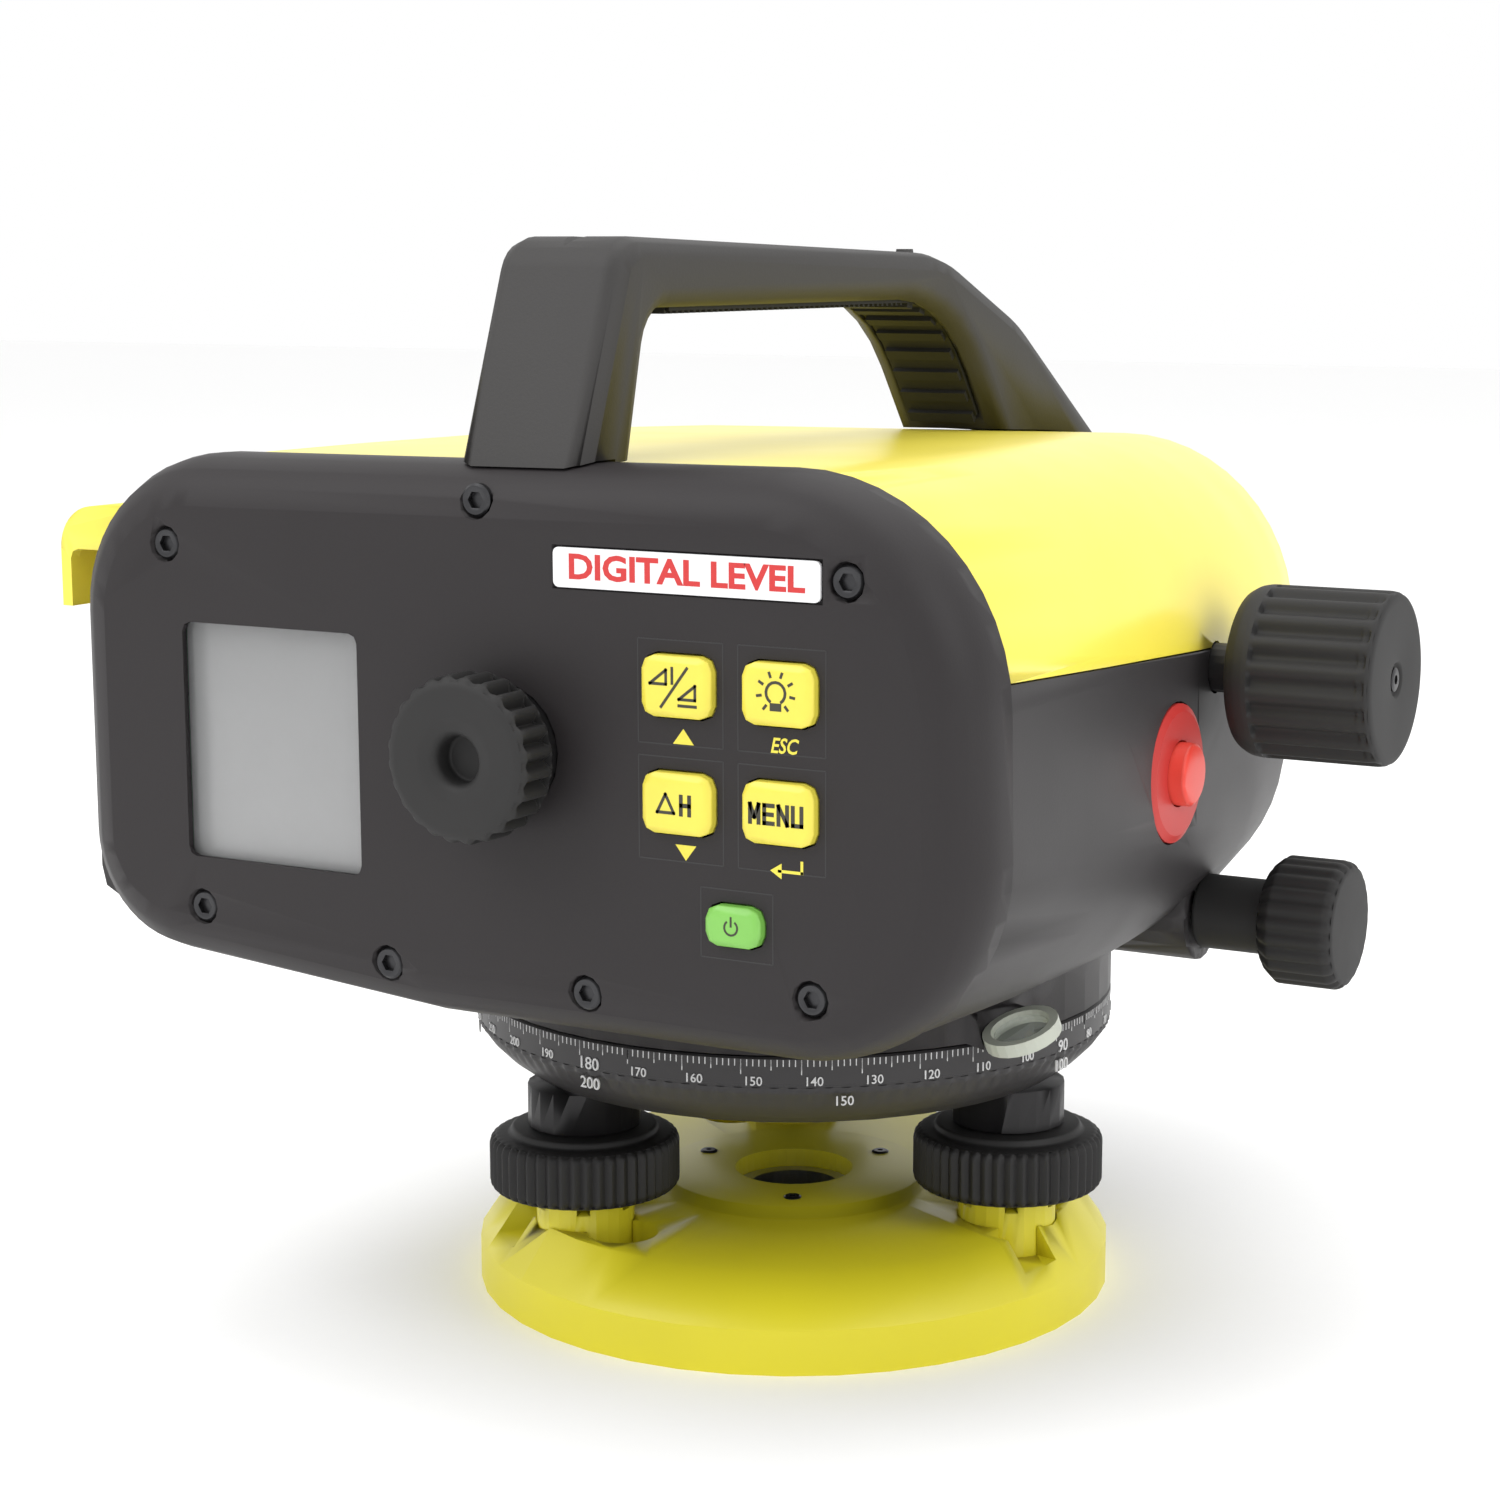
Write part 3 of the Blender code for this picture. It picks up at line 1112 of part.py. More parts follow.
def make_trigger(parent, press):
    centre = (0, TRIGGER_Y, TRIGGER_Z)
    bore = BUTTON_RADIUS + RUN
    back = TRIGGER_FACE - BEZEL_THICK
    bezel = (
        (bore, back), (BEZEL_RADIUS, back), (BEZEL_RADIUS, TRIGGER_FACE - 0.6),
        (BEZEL_RADIUS - 1.2, TRIGGER_FACE), (bore, TRIGGER_FACE),
    )
    turned("trigger_bezel", bezel, "X", "red_plastic", parent, centre, 32, True)
    flange_back = back - GAP - 1.5
    tip = TRIGGER_FACE + BUTTON_PROUD
    button = (
        (0, flange_back), (BUTTON_FLANGE, flange_back), (BUTTON_FLANGE, back - GAP),
        (BUTTON_RADIUS, back - GAP),
        (BUTTON_RADIUS, tip - 0.5), (BUTTON_RADIUS - 0.7, tip), (0, tip),
    )
    turned("trigger_button", button, "X", "red_plastic", press, centre, 24)


def make_battery(parent, door_holder, latch_holder, swollen_body):
    hinge = (HINGE_X, DOOR_FRONT, DOOR_LOW)
    outline = (
        (DOOR_OUT, DOOR_HIGH, DOOR_ROUND), (DOOR_OUT, DOOR_LOW, DOOR_LOW_ROUND),
        (HOOD_IN, DOOR_LOW - DOOR_RIM, 0.0),
        (HOOD_IN, DOOR_HIGH, 0.0),
    )
    door = prism(
        "battery_door", rounded(outline, 3), "Y", DOOR_REAR, DOOR_FRONT, "dark_shell", door_holder, hinge
    )
    cut(door, swollen_body)
    recess_front = LATCH_REAR + LATCH_LENGTH + LATCH_TRAVEL + GAP
    recess_low = (DOOR_OUT - 2 * LATCH_PROUD, LATCH_REAR - GAP, LATCH_LOW - GAP)
    recess_high = (DOOR_OUT + LATCH_DEPTH + GAP, recess_front, LATCH_LOW + LATCH_HEIGHT + GAP)
    cut(door, block("latch_recess", recess_low, recess_high))
    latch_low = (DOOR_OUT - LATCH_PROUD, LATCH_REAR, LATCH_LOW)
    latch_high = (DOOR_OUT + LATCH_DEPTH, LATCH_REAR + LATCH_LENGTH, LATCH_LOW + LATCH_HEIGHT)
    latch = block("battery_latch", latch_low, latch_high, "black_rubber", latch_holder, latch_low)
    bevel(latch, 0.6, 1)
    pitch = 2 * CELL_RADIUS + GAP
    first_x = FACE_LEFT + BODY_STEP + WALL + CELL_RADIUS + CELL_MARGIN
    cap = 0.375 * CELL_RADIUS
    shoulder = CELL_TIP - 1.5
    profile = (
        (0, CELL_START), (CELL_RADIUS - 0.5, CELL_START), (CELL_RADIUS, CELL_START + 0.5),
        (CELL_RADIUS, shoulder - 0.5),
        (CELL_RADIUS - 0.7, shoulder), (cap, shoulder), (cap, CELL_TIP), (0, CELL_TIP),
    )
    for index in range(CELL_COUNT):
        x = first_x + pitch * index
        turned(f"battery_cell_{index + 1}", profile, "Y", "cell_wrap", parent, (x, 0, CELL_Z), 16)
    left = first_x + 2.0
    right = first_x + (CELL_COUNT - 1) * pitch + CELL_RADIUS + GAP
    low = CELL_Z - CELL_RADIUS - GAP
    outline = (
        (left, low - TRAY_WALL), (right + TRAY_WALL, low - TRAY_WALL), (right + TRAY_WALL, CELL_Z),
        (right, CELL_Z),
        (right, low), (left, low),
    )
    prism("battery_tray", outline, "Y", TRAY_REAR, CELL_TIP + GAP, "dark_shell", parent)


def make_level(parent, swollen_body, swollen_panel):
    """Circular level on a bracket, and the hood with the mirror that shows it from behind."""
    cup_radius = VIAL_RADIUS + GAP + CUP_WALL
    at = (VIAL_X, VIAL_Y, 0)
    bracket = turned("level_bracket", disc(cup_radius, CUP_LOW, CUP_HIGH), "Z", "dark_shell", parent, at, 24)
    join(
        bracket,
        block("bracket_arm", (VIAL_X, VIAL_Y - 5, CUP_LOW + 0.5), (HOOD_IN, VIAL_Y + 5, CUP_HIGH - 1)),
    )
    cut(bracket, swollen_body)
    cut(bracket, round_cutter("vial_pocket", VIAL_RADIUS + GAP, "Z", VIAL_LOW - GAP, CUP_HIGH + REACH, at))
    vial = (
        (0, VIAL_LOW), (VIAL_RADIUS, VIAL_LOW), (VIAL_RADIUS, VIAL_HIGH - 1.2),
        (VIAL_RADIUS - 1.4, VIAL_HIGH), (0, VIAL_HIGH + 0.4),
    )
    turned("level_vial", vial, "Z", "clear_glass", parent, at, 24)
    outer = (
        (HOOD_OUT, HOOD_LOW, 0), (HOOD_OUT, HOOD_HIGH, HOOD_ROUND), (HOOD_IN, HOOD_HIGH + HOOD_RISE, 0),
        (HOOD_IN, HOOD_LOW, 0),
    )
    hood = prism("mirror_hood", rounded(outer), "Y", HOOD_REAR, HOOD_FRONT, "yellow_shell", parent)
    inner_out = HOOD_OUT + HOOD_WALL
    inner_high = HOOD_HIGH - HOOD_WALL
    inner = (
        (inner_out, HOOD_LOW - 1, 0), (inner_out, inner_high, HOOD_ROUND - HOOD_WALL),
        (HOOD_IN - 1, inner_high + HOOD_RISE, 0), (HOOD_IN - 1, HOOD_LOW - 1, 0),
    )
    cut(hood, prism("hood_inside", rounded(inner), "Y", HOOD_REAR + HOOD_WALL, HOOD_FRONT - HOOD_WALL))
    brow = (
        (inner_out, HOOD_LOW - 1, 0), (inner_out, HOOD_BROW, 1.5), (HOOD_IN - 1, HOOD_BROW, 0),
        (HOOD_IN - 1, HOOD_LOW - 1, 0),
    )
    cut(hood, prism("hood_opening", rounded(brow, 2), "Y", HOOD_REAR - 1, HOOD_REAR + HOOD_WALL + 1))
    cut(hood, swollen_body, swollen_panel)
    run = MIRROR_TOP - MIRROR_LOW
    thick = MIRROR_THICK / math.sqrt(2)
    outline = (
        (MIRROR_REAR, MIRROR_TOP), (MIRROR_REAR + run, MIRROR_LOW),
        (MIRROR_REAR + run + thick, MIRROR_LOW + thick),
        (MIRROR_REAR + thick, MIRROR_TOP + thick),
    )
    near = FACE_LEFT + BODY_STEP - GAP - 1.0
    prism("level_mirror", outline, "X", inner_out + 2.5, near, "mirror_glass", parent)


def make_reading_lens(parent):
    ring = turned(
        "lens_ring", tube(LENS_RADIUS + GAP, LENS_RING_RADIUS, -LENS_HALF, LENS_HALF), "Z", "aluminium",
        parent, LENS_PLACE, 24, True,
    )
    aim(ring, LENS_NORMAL)
    profile = ((0, -0.8), (LENS_RADIUS, -0.4), (LENS_RADIUS, 0.4), (LENS_RADIUS / 2, 0.75), (0, 0.9))
    aim(turned("circle_lens", profile, "Z", "clear_glass", parent, LENS_PLACE, 24), LENS_NORMAL)


def main():
    clear_scene()
    root = empty("tribrach")
    wheel = empty("clutch", parent=root)
    alidade = empty("alidade", parent=wheel)
    make_base(root)
    for letter in FOOT_ANGLES:
        make_foot_nut(letter, root)
        make_foot_screw(letter, root)
    make_head(root)
    make_circle(root)
    make_worm_wheel(wheel)
    make_axle(alidade)
    make_chassis(alidade)
    drive = empty("drive_spin", (0, DRIVE_Y, DRIVE_Z), alidade)
    make_drive(drive)
    make_shells(alidade)
    make_panel(alidade)
    make_board(alidade)
    make_keys(alidade)
    swollen_body, swollen_panel = make_handle(alidade)
    make_telescope(alidade)
    slider = empty("focus_slide", (0, 0, SCOPE_Z), alidade)
    knob = empty("focus_turn", (0, FOCUS_Y, FOCUS_Z), alidade)
    make_focus(alidade, slider, knob)
    ring_holder = empty("dioptre_turn", (0, 0, SCOPE_Z), alidade)
    lens_holder = empty("dioptre_slide", (0, 0, SCOPE_Z), alidade)
    make_eyepiece(alidade, ring_holder, lens_holder)
    swing = empty("pendulum_swing", (0, PENDULUM_Y, PENDULUM_PIVOT_Z), alidade)
    make_compensator(alidade, swing)
    press = empty("trigger_press", (0, TRIGGER_Y, TRIGGER_Z), alidade)
    make_trigger(alidade, press)
    door = empty("door_swing", (HINGE_X, DOOR_FRONT, DOOR_LOW), alidade)
    latch = empty("latch_slide", (DOOR_OUT, LATCH_REAR, LATCH_LOW), door)
    make_battery(alidade, door, latch, swollen_body)
    make_level(alidade, swollen_body, swollen_panel)
    make_reading_lens(alidade)


main()
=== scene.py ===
import json
import math

import bmesh
import bpy
from mathutils import Matrix, Vector


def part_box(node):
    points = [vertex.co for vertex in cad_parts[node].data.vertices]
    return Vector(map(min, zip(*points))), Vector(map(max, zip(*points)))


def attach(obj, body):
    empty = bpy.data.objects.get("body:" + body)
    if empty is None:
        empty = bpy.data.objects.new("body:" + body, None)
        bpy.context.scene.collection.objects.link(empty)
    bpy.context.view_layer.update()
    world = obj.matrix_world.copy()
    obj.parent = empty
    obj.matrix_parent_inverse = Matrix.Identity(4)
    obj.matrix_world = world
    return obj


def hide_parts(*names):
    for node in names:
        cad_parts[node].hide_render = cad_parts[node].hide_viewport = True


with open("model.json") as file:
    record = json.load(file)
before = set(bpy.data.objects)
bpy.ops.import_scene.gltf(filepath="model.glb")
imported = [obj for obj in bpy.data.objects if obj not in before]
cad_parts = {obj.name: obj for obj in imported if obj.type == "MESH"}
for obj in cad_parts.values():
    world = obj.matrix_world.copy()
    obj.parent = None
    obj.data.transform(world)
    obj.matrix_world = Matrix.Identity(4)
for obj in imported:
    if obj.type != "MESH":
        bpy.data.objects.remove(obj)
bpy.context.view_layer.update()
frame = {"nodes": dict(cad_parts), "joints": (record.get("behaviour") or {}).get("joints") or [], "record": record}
mm = 0.001
bodyOf = {node: body for body, nodes in frame["record"]["behaviour"]["bodies"].items() for node in nodes}
jointOf = {joint["name"]: joint for joint in frame["joints"]}
print("frame loaded:", len(frame["nodes"]), "nodes")


class Wire:  # one output socket, so that sums on it add Math nodes
    def __init__(self, graph, socket):
        self.graph = graph
        self.socket = socket

    def math(self, operation, first, second=0.0):
        return self.graph.node("ShaderNodeMath", {"operation": operation}, {0: first, 1: second})

    def __add__(self, other):
        return self.math("ADD", self, other)

    def __radd__(self, other):
        return self.math("ADD", other, self)

    def __sub__(self, other):
        return self.math("SUBTRACT", self, other)

    def __rsub__(self, other):
        return self.math("SUBTRACT", other, self)

    def __mul__(self, other):
        return self.math("MULTIPLY", self, other)

    def __rmul__(self, other):
        return self.math("MULTIPLY", other, self)

    def __truediv__(self, other):
        return self.math("DIVIDE", self, other)

    def __pow__(self, other):
        return self.math("POWER", self, other)

    def __gt__(self, other):
        return self.math("GREATER_THAN", self, other)


class Graph:  # the nodes of one material or one geometry tree
    def __init__(self, tree):
        self.tree = tree

    def node(self, kind, settings, inputs, out=0):
        made = self.tree.nodes.new(kind)
        for key, value in settings.items():
            setattr(made, key, value)
        for key, value in inputs.items():
            self.feed(made.inputs[key], value)
        return Wire(self, made.outputs[out])

    def feed(self, socket, value):
        if isinstance(value, Wire):
            self.tree.links.new(value.socket, socket)
        elif socket.type == "RGBA" and len(value) == 3:
            socket.default_value = (*value, 1.0)
        else:
            socket.default_value = value

    def blend(self, mask, first, second):  # a colour between two, by a mask
        return self.node("ShaderNodeMix", {"data_type": "RGBA"}, {0: mask, 6: first, 7: second}, 2)

    def place(self):
        return self.node("ShaderNodeTexCoord", {}, {}, "Object")

    def noise(self, size, detail=2.0, roughness=0.5, where=None):
        inputs = {
            "Vector": where or self.place(), "Scale": 1 / size, "Detail": detail, "Roughness": roughness,
        }
        return self.node("ShaderNodeTexNoise", {}, inputs, "Fac")


def newFinish(name, metallic=0.0, coat=0.0, coatRoughness=0.1, specular=0.5):
    material = bpy.data.materials.new(name)
    material.use_nodes = True
    shader = material.node_tree.nodes["Principled BSDF"]
    shader.inputs["Metallic"].default_value = metallic
    shader.inputs["Coat Weight"].default_value = coat
    shader.inputs["Coat Roughness"].default_value = coatRoughness
    shader.inputs["Specular IOR Level"].default_value = specular
    return material, Graph(material.node_tree), shader


def spread(value, low, high):  # maps a 0 to 1 wire onto low to high
    return value * (high - low) + low


def addBump(graph, shader, height, strength, distance):
    inputs = {"Height": height, "Strength": strength, "Distance": distance}
    bump = graph.node("ShaderNodeBump", {}, inputs)
    graph.feed(shader.inputs["Normal"], bump)


mouldedLook = {
    "shell": {
        "colour": (0.0215, 0.0195, 0.0205), "dust": (0.034, 0.031, 0.032), "roughness": 0.46, "grain": 0.35,
        "depth": 0.05, "gloss": 0.34,
    },
    "panel": {
        "colour": (0.0185, 0.0160, 0.0170), "dust": (0.026, 0.023, 0.024), "roughness": 0.50, "grain": 0.40,
        "depth": 0.04, "gloss": 0.26,
    },
    "handle": {
        "colour": (0.0260, 0.0245, 0.0240), "dust": (0.040, 0.038, 0.037), "roughness": 0.55, "grain": 0.45,
        "depth": 0.07, "gloss": 0.36,
    },
    "ring": {
        "colour": (0.0240, 0.0225, 0.0235), "dust": (0.036, 0.034, 0.035), "roughness": 0.42, "grain": 0.30,
        "depth": 0.03, "gloss": 0.36,
    },
}


def mouldedPlastic(name, look):  # fine-grained dark plastic with a little dust in its grain
    material, graph, shader = newFinish(name, specular=look["gloss"])
    where = graph.place()
    grain = graph.noise(look["grain"] * mm, 3.0, 0.6, where)
    cloud = graph.noise(22 * mm, 3.0, 0.5, where)
    dusty = graph.blend(cloud * 0.6 + grain * 0.35, look["colour"], look["dust"])
    graph.feed(shader.inputs["Base Color"], dusty)
    graph.feed(shader.inputs["Roughness"], spread(cloud, look["roughness"] - 0.05, look["roughness"] + 0.07))
    addBump(graph, shader, grain, 0.35, look["depth"] * mm)
    return material


paintLook = {
    "cover": {
        "colour": (0.90, 0.775, 0.085), "shade": (0.84, 0.70, 0.060), "roughness": 0.33, "peel": 0.9,
        "depth": 0.010, "coat": 0.25,
    },
    "casting": {
        "colour": (0.74, 0.66, 0.020), "shade": (0.66, 0.58, 0.016), "roughness": 0.42, "peel": 1.4,
        "depth": 0.030, "coat": 0.10,
    },
}


def yellowPaint(name, look):  # sprayed paint: slight orange peel, a few duller patches and fine specks
    material, graph, shader = newFinish(name, coat=look["coat"], coatRoughness=0.18)
    where = graph.place()
    peel = graph.noise(look["peel"] * mm, 1.5, 0.45, where)
    patches = graph.noise(30 * mm, 3.0, 0.55, where)
    specks = graph.noise(0.35 * mm, 2.0, 0.6, where) > 0.80
    tone = graph.blend(patches, look["colour"], look["shade"])
    graph.feed(shader.inputs["Base Color"], graph.blend(specks * 0.18, tone, (0.30, 0.24, 0.02)))
    graph.feed(
        shader.inputs["Roughness"], spread(patches, look["roughness"] - 0.06, look["roughness"] + 0.08)
    )
    addBump(graph, shader, peel, 0.3, look["depth"] * mm)
    return material


def softRubber(name, colour, roughness, grain=0.25, depth=0.03):
    material, graph, shader = newFinish(name, specular=0.35)
    where = graph.place()
    pores = graph.noise(grain * mm, 3.0, 0.65, where)
    wear = graph.noise(9 * mm, 3.0, 0.5, where)
    lighter = tuple(min(1.0, part * 1.45 + 0.004) for part in colour)
    graph.feed(shader.inputs["Base Color"], graph.blend(wear * 0.7, colour, lighter))
    graph.feed(shader.inputs["Roughness"], spread(wear, roughness - 0.06, roughness + 0.06))
    addBump(graph, shader, pores, 0.4, depth * mm)
    return material


def keyRubber(name, colour):  # satin silicone key, a touch darker where fingers land
    material, graph, shader = newFinish(name, coat=0.15, coatRoughness=0.3)
    where = graph.place()
    touch = graph.noise(4 * mm, 2.0, 0.5, where)
    darker = tuple(part * 0.88 for part in colour)
    graph.feed(shader.inputs["Base Color"], graph.blend(touch, colour, darker))
    graph.feed(shader.inputs["Roughness"], spread(touch, 0.34, 0.46))
    addBump(graph, shader, graph.noise(0.2 * mm, 2.0, 0.5, where), 0.2, 0.02 * mm)
    return material


# turned or milled metal with fine streaks
def satinMetal(name, colour, roughness, metallic=1.0, streak=0.12):
    material, graph, shader = newFinish(name, metallic=metallic)
    where = graph.place()
    along = graph.node("ShaderNodeMapping", {}, {"Vector": where, "Scale": (1.0, 1.0, 14.0)})
    streaks = graph.noise(1.8 * mm, 4.0, 0.6, along)
    darker = tuple(part * 0.8 for part in colour)
    graph.feed(shader.inputs["Base Color"], graph.blend(streaks, colour, darker))
    graph.feed(shader.inputs["Roughness"], spread(streaks, roughness - streak / 2, roughness + streak / 2))
    addBump(graph, shader, streaks, 0.15, 0.01 * mm)
    return material


def printedInk(name, colour, roughness=0.45):  # screen print: solid with a faint mottle
    material, graph, shader = newFinish(name)
    mottle = graph.noise(0.4 * mm, 2.0, 0.5)
    paler = tuple(part * 0.86 for part in colour)
    graph.feed(shader.inputs["Base Color"], graph.blend(mottle, colour, paler))
    graph.feed(shader.inputs["Roughness"], spread(mottle, roughness - 0.05, roughness + 0.05))
    return material


def coatedGlass(name, colour, alpha, roughness=0.04):  # lens or window glass; smudges only dull its gloss
    material, graph, shader = newFinish(name, coat=1.0, coatRoughness=0.02, specular=0.8)
    smudge = graph.noise(6 * mm, 3.0, 0.6)
    shader.inputs["Base Color"].default_value = (*colour, 1.0)
    graph.feed(shader.inputs["Roughness"], spread(smudge, roughness, roughness + 0.05))
    graph.feed(shader.inputs["Alpha"], spread(smudge, alpha - 0.02, alpha + 0.02))
    return material


def displayFilm(name):  # reflective grey liquid crystal; painted shade makes it a little darker towards its top
    material, graph, shader = newFinish(name, coat=0.3, coatRoughness=0.15)
    where = graph.place()
    height = graph.node("ShaderNodeSeparateXYZ", {}, {"Vector": where}, "Z")
    cloud = graph.noise(14 * mm, 2.0, 0.5, where)
    # painted shade: the colour darkens by height towards the display's top, broken up a little by the cloud noise
    shadeTowardsTop = (height - 0.083) / 0.037 + (cloud - 0.5) * 0.3
    graph.feed(shader.inputs["Base Color"], graph.blend(shadeTowardsTop, (0.44, 0.435, 0.44), (0.31, 0.305, 0.31)))
    graph.feed(shader.inputs["Roughness"], spread(cloud, 0.28, 0.40))
    return material


def circuitBoard(name):
    material, graph, shader = newFinish(name)
    where = graph.place()
    cells = {"Vector": where, "Scale": 1 / (3 * mm)}
    tracks = graph.node("ShaderNodeTexVoronoi", {"distance": "MANHATTAN"}, cells) > 0.42
    graph.feed(shader.inputs["Base Color"], graph.blend(tracks, (0.012, 0.10, 0.035), (0.03, 0.22, 0.08)))
    graph.feed(shader.inputs["Roughness"], spread(tracks, 0.3, 0.5))
    return material


shellPlastic = mouldedPlastic("shellPlastic", mouldedLook["shell"])
panelPlastic = mouldedPlastic("panelPlastic", mouldedLook["panel"])
handlePlastic = mouldedPlastic("handlePlastic", mouldedLook["handle"])
ringPlastic = mouldedPlastic("ringPlastic", mouldedLook["ring"])
coverPaint = yellowPaint("coverPaint", paintLook["cover"])
castingPaint = yellowPaint("castingPaint", paintLook["casting"])
knobRubber = softRubber("knobRubber", (0.014, 0.0135, 0.0135), 0.62)
footRubber = softRubber("footRubber", (0.009, 0.0085, 0.0085), 0.55)
gripRubber = softRubber("gripRubber", (0.012, 0.012, 0.0115), 0.70, 0.3, 0.05)
yellowKey = keyRubber("yellowKey", (0.80, 0.69, 0.075))
greenKey = keyRubber("greenKey", (0.20, 0.52, 0.085))
redPlastic = softRubber("redPlastic", (0.40, 0.028, 0.024), 0.42, 0.25, 0.01)
buttonRed = softRubber("buttonRed", (0.60, 0.048, 0.032), 0.36, 0.25, 0.01)
blackMetal = satinMetal("blackMetal", (0.022, 0.021, 0.022), 0.42, 0.5)
screwSteel = satinMetal("screwSteel", (0.055, 0.055, 0.058), 0.35, 0.9)
plainSteel = satinMetal("plainSteel", (0.50, 0.50, 0.52), 0.30)
lensFrame = softRubber("lensFrame", (0.40, 0.42, 0.36), 0.35, 0.3, 0.01)
milledAluminium = satinMetal("milledAluminium", (0.62, 0.64, 0.63), 0.30)
turnedBrass = satinMetal("turnedBrass", (0.70, 0.50, 0.20), 0.28)
mirrorSilver = satinMetal("mirrorSilver", (0.82, 0.83, 0.84), 0.06, 1.0, 0.02)
# lensGlass: its near-black base colour is painted shade for the unlit tube behind the lens, its bluish tint a
# painted coating reflection
lensGlass = coatedGlass("lensGlass", (0.015, 0.02, 0.035), 0.82)
windowGlass = coatedGlass("windowGlass", (0.30, 0.31, 0.31), 0.22, 0.08)
clearLens = coatedGlass("clearLens", (0.62, 0.68, 0.60), 0.30)
vialGlass = coatedGlass("vialGlass", (0.35, 0.45, 0.10), 0.75)
labelWhite = printedInk("labelWhite", (0.84, 0.84, 0.85), 0.40)
whiteInk = printedInk("whiteInk", (0.62, 0.62, 0.62))
yellowInk = printedInk("yellowInk", (0.80, 0.70, 0.07))
darkInk = printedInk("darkInk", (0.035, 0.033, 0.020))
redInk = printedInk("redInk", (0.60, 0.03, 0.03))
frameInk = printedInk("frameInk", (0.016, 0.015, 0.016), 0.35)
displayGrey = displayFilm("displayGrey")
boardGreen = circuitBoard("boardGreen")
cellWrap = printedInk("cellWrap", (0.10, 0.11, 0.14), 0.35)
print("finishes made:", len(bpy.data.materials))


def linkPiece(name, mesh, finish, body, angle=32.0, slot=None):
    mesh.name = name
    mesh.materials.clear()
    mesh.materials.append(finish)
    mesh.shade_smooth()
    mesh.set_sharp_from_angle(angle=math.radians(angle))
    piece = bpy.data.objects.new(name, mesh)
    bpy.context.scene.collection.objects.link(piece)
    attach(piece, body)
    return piece


def slotOf(node):
    return next(part["material_slot"] for part in frame["record"]["subparts"] if part["node"] == node)


def flattened(piece):  # a plain mesh of the piece with its modifiers applied
    graph = bpy.context.evaluated_depsgraph_get()
    mesh = bpy.data.meshes.new_from_object(
        piece.evaluated_get(graph), preserve_all_data_layers=True, depsgraph=graph
    )
    piece.modifiers.clear()
    return mesh


def skin(node, finish, angle=32.0):  # a merged, smooth copy of a CAD node that stands for it
    shape = bmesh.new()
    shape.from_mesh(frame["nodes"][node].data)
    bmesh.ops.remove_doubles(shape, verts=shape.verts, dist=2e-6)
    bmesh.ops.dissolve_degenerate(shape, edges=shape.edges, dist=1e-6)
    mesh = bpy.data.meshes.new(node + "Raw")
    shape.to_mesh(mesh)
    shape.free()
    mesh.shade_smooth()
    mesh.set_sharp_from_angle(angle=math.radians(angle))
    helper = bpy.data.objects.new(node + "Helper", mesh)
    bpy.context.scene.collection.objects.link(helper)
    weighted = helper.modifiers.new("evenShading", "WEIGHTED_NORMAL")
    weighted.keep_sharp = True
    weighted.weight = 80
    smooth = flattened(helper)
    bpy.data.objects.remove(helper)
    smooth.name = node + "Skin"
    smooth.materials.clear()
    smooth.materials.append(finish)
    piece = bpy.data.objects.new(node + "Skin", smooth)
    bpy.context.scene.collection.objects.link(piece)
    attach(piece, bodyOf[node])
    slotOf(node)
    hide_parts(node)
    return piece


skinFinish = {
    "base_plate": castingPaint, "foot_nut_a": castingPaint, "foot_nut_b": castingPaint,
    "foot_nut_c": castingPaint, "tribrach_head": blackMetal, "lower_housing": shellPlastic,
    "upper_cover": coverPaint, "control_panel": panelPlastic, "handle": handlePlastic,
    "handle_grip": gripRubber, "key_sight": yellowKey, "key_light": yellowKey, "key_height": yellowKey,
    "key_menu": yellowKey, "key_power": greenKey, "objective_ring": blackMetal, "objective_lens": lensGlass,
    "telescope_tube": blackMetal, "trigger_bezel": redPlastic, "trigger_button": buttonRed,
    "battery_door": shellPlastic, "battery_latch": knobRubber, "level_bracket": shellPlastic,
    "level_vial": vialGlass, "mirror_hood": coverPaint, "lens_ring": lensFrame, "circle_lens": clearLens,
    "focus_bush": blackMetal, "axle_nut": blackMetal, "thread_insert": plainSteel,
}
skins = {node: skin(node, finish) for node, finish in skinFinish.items()}
batteryDoor = {"reach": 2.6, "from": 1.8}  # how much fuller the outer face is, and how deep that starts


def fillOut(piece, edge, look):  # carries the outer face of a piece further to the left
    for vertex in piece.data.vertices:
        if vertex.co.x < edge:
            vertex.co.x -= look["reach"] * mm


fillOut(skins["battery_door"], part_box("battery_door")[0].x + batteryDoor["from"] * mm, batteryDoor)
fillOut(skins["battery_latch"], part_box("battery_latch")[1].x + mm, batteryDoor)

plainFinish = {
    "spring_plate": plainSteel, "axis_bush": turnedBrass, "worm_wheel": turnedBrass,
    "vertical_axle": plainSteel, "chassis": milledAluminium, "drive_shaft": plainSteel,
    "display_window": windowGlass, "display_module": displayGrey, "main_board": boardGreen,
    "label_plate": labelWhite, "focus_cell": milledAluminium, "focus_shaft": plainSteel,
    "eyepiece_tube": blackMetal, "eyepiece_lens": lensGlass, "compensator_frame": milledAluminium,
    "compensator_pendulum": milledAluminium, "sensor_board": boardGreen, "battery_tray": shellPlastic,
    "battery_cell_1": cellWrap, "battery_cell_2": cellWrap, "battery_cell_3": cellWrap,
    "battery_cell_4": cellWrap, "level_mirror": mirrorSilver,
}
for node, finish in plainFinish.items():
    data = frame["nodes"][node].data
    data.materials.clear()
    data.materials.append(finish)
print("nodes carried over:", len(skinFinish) + len(plainFinish))


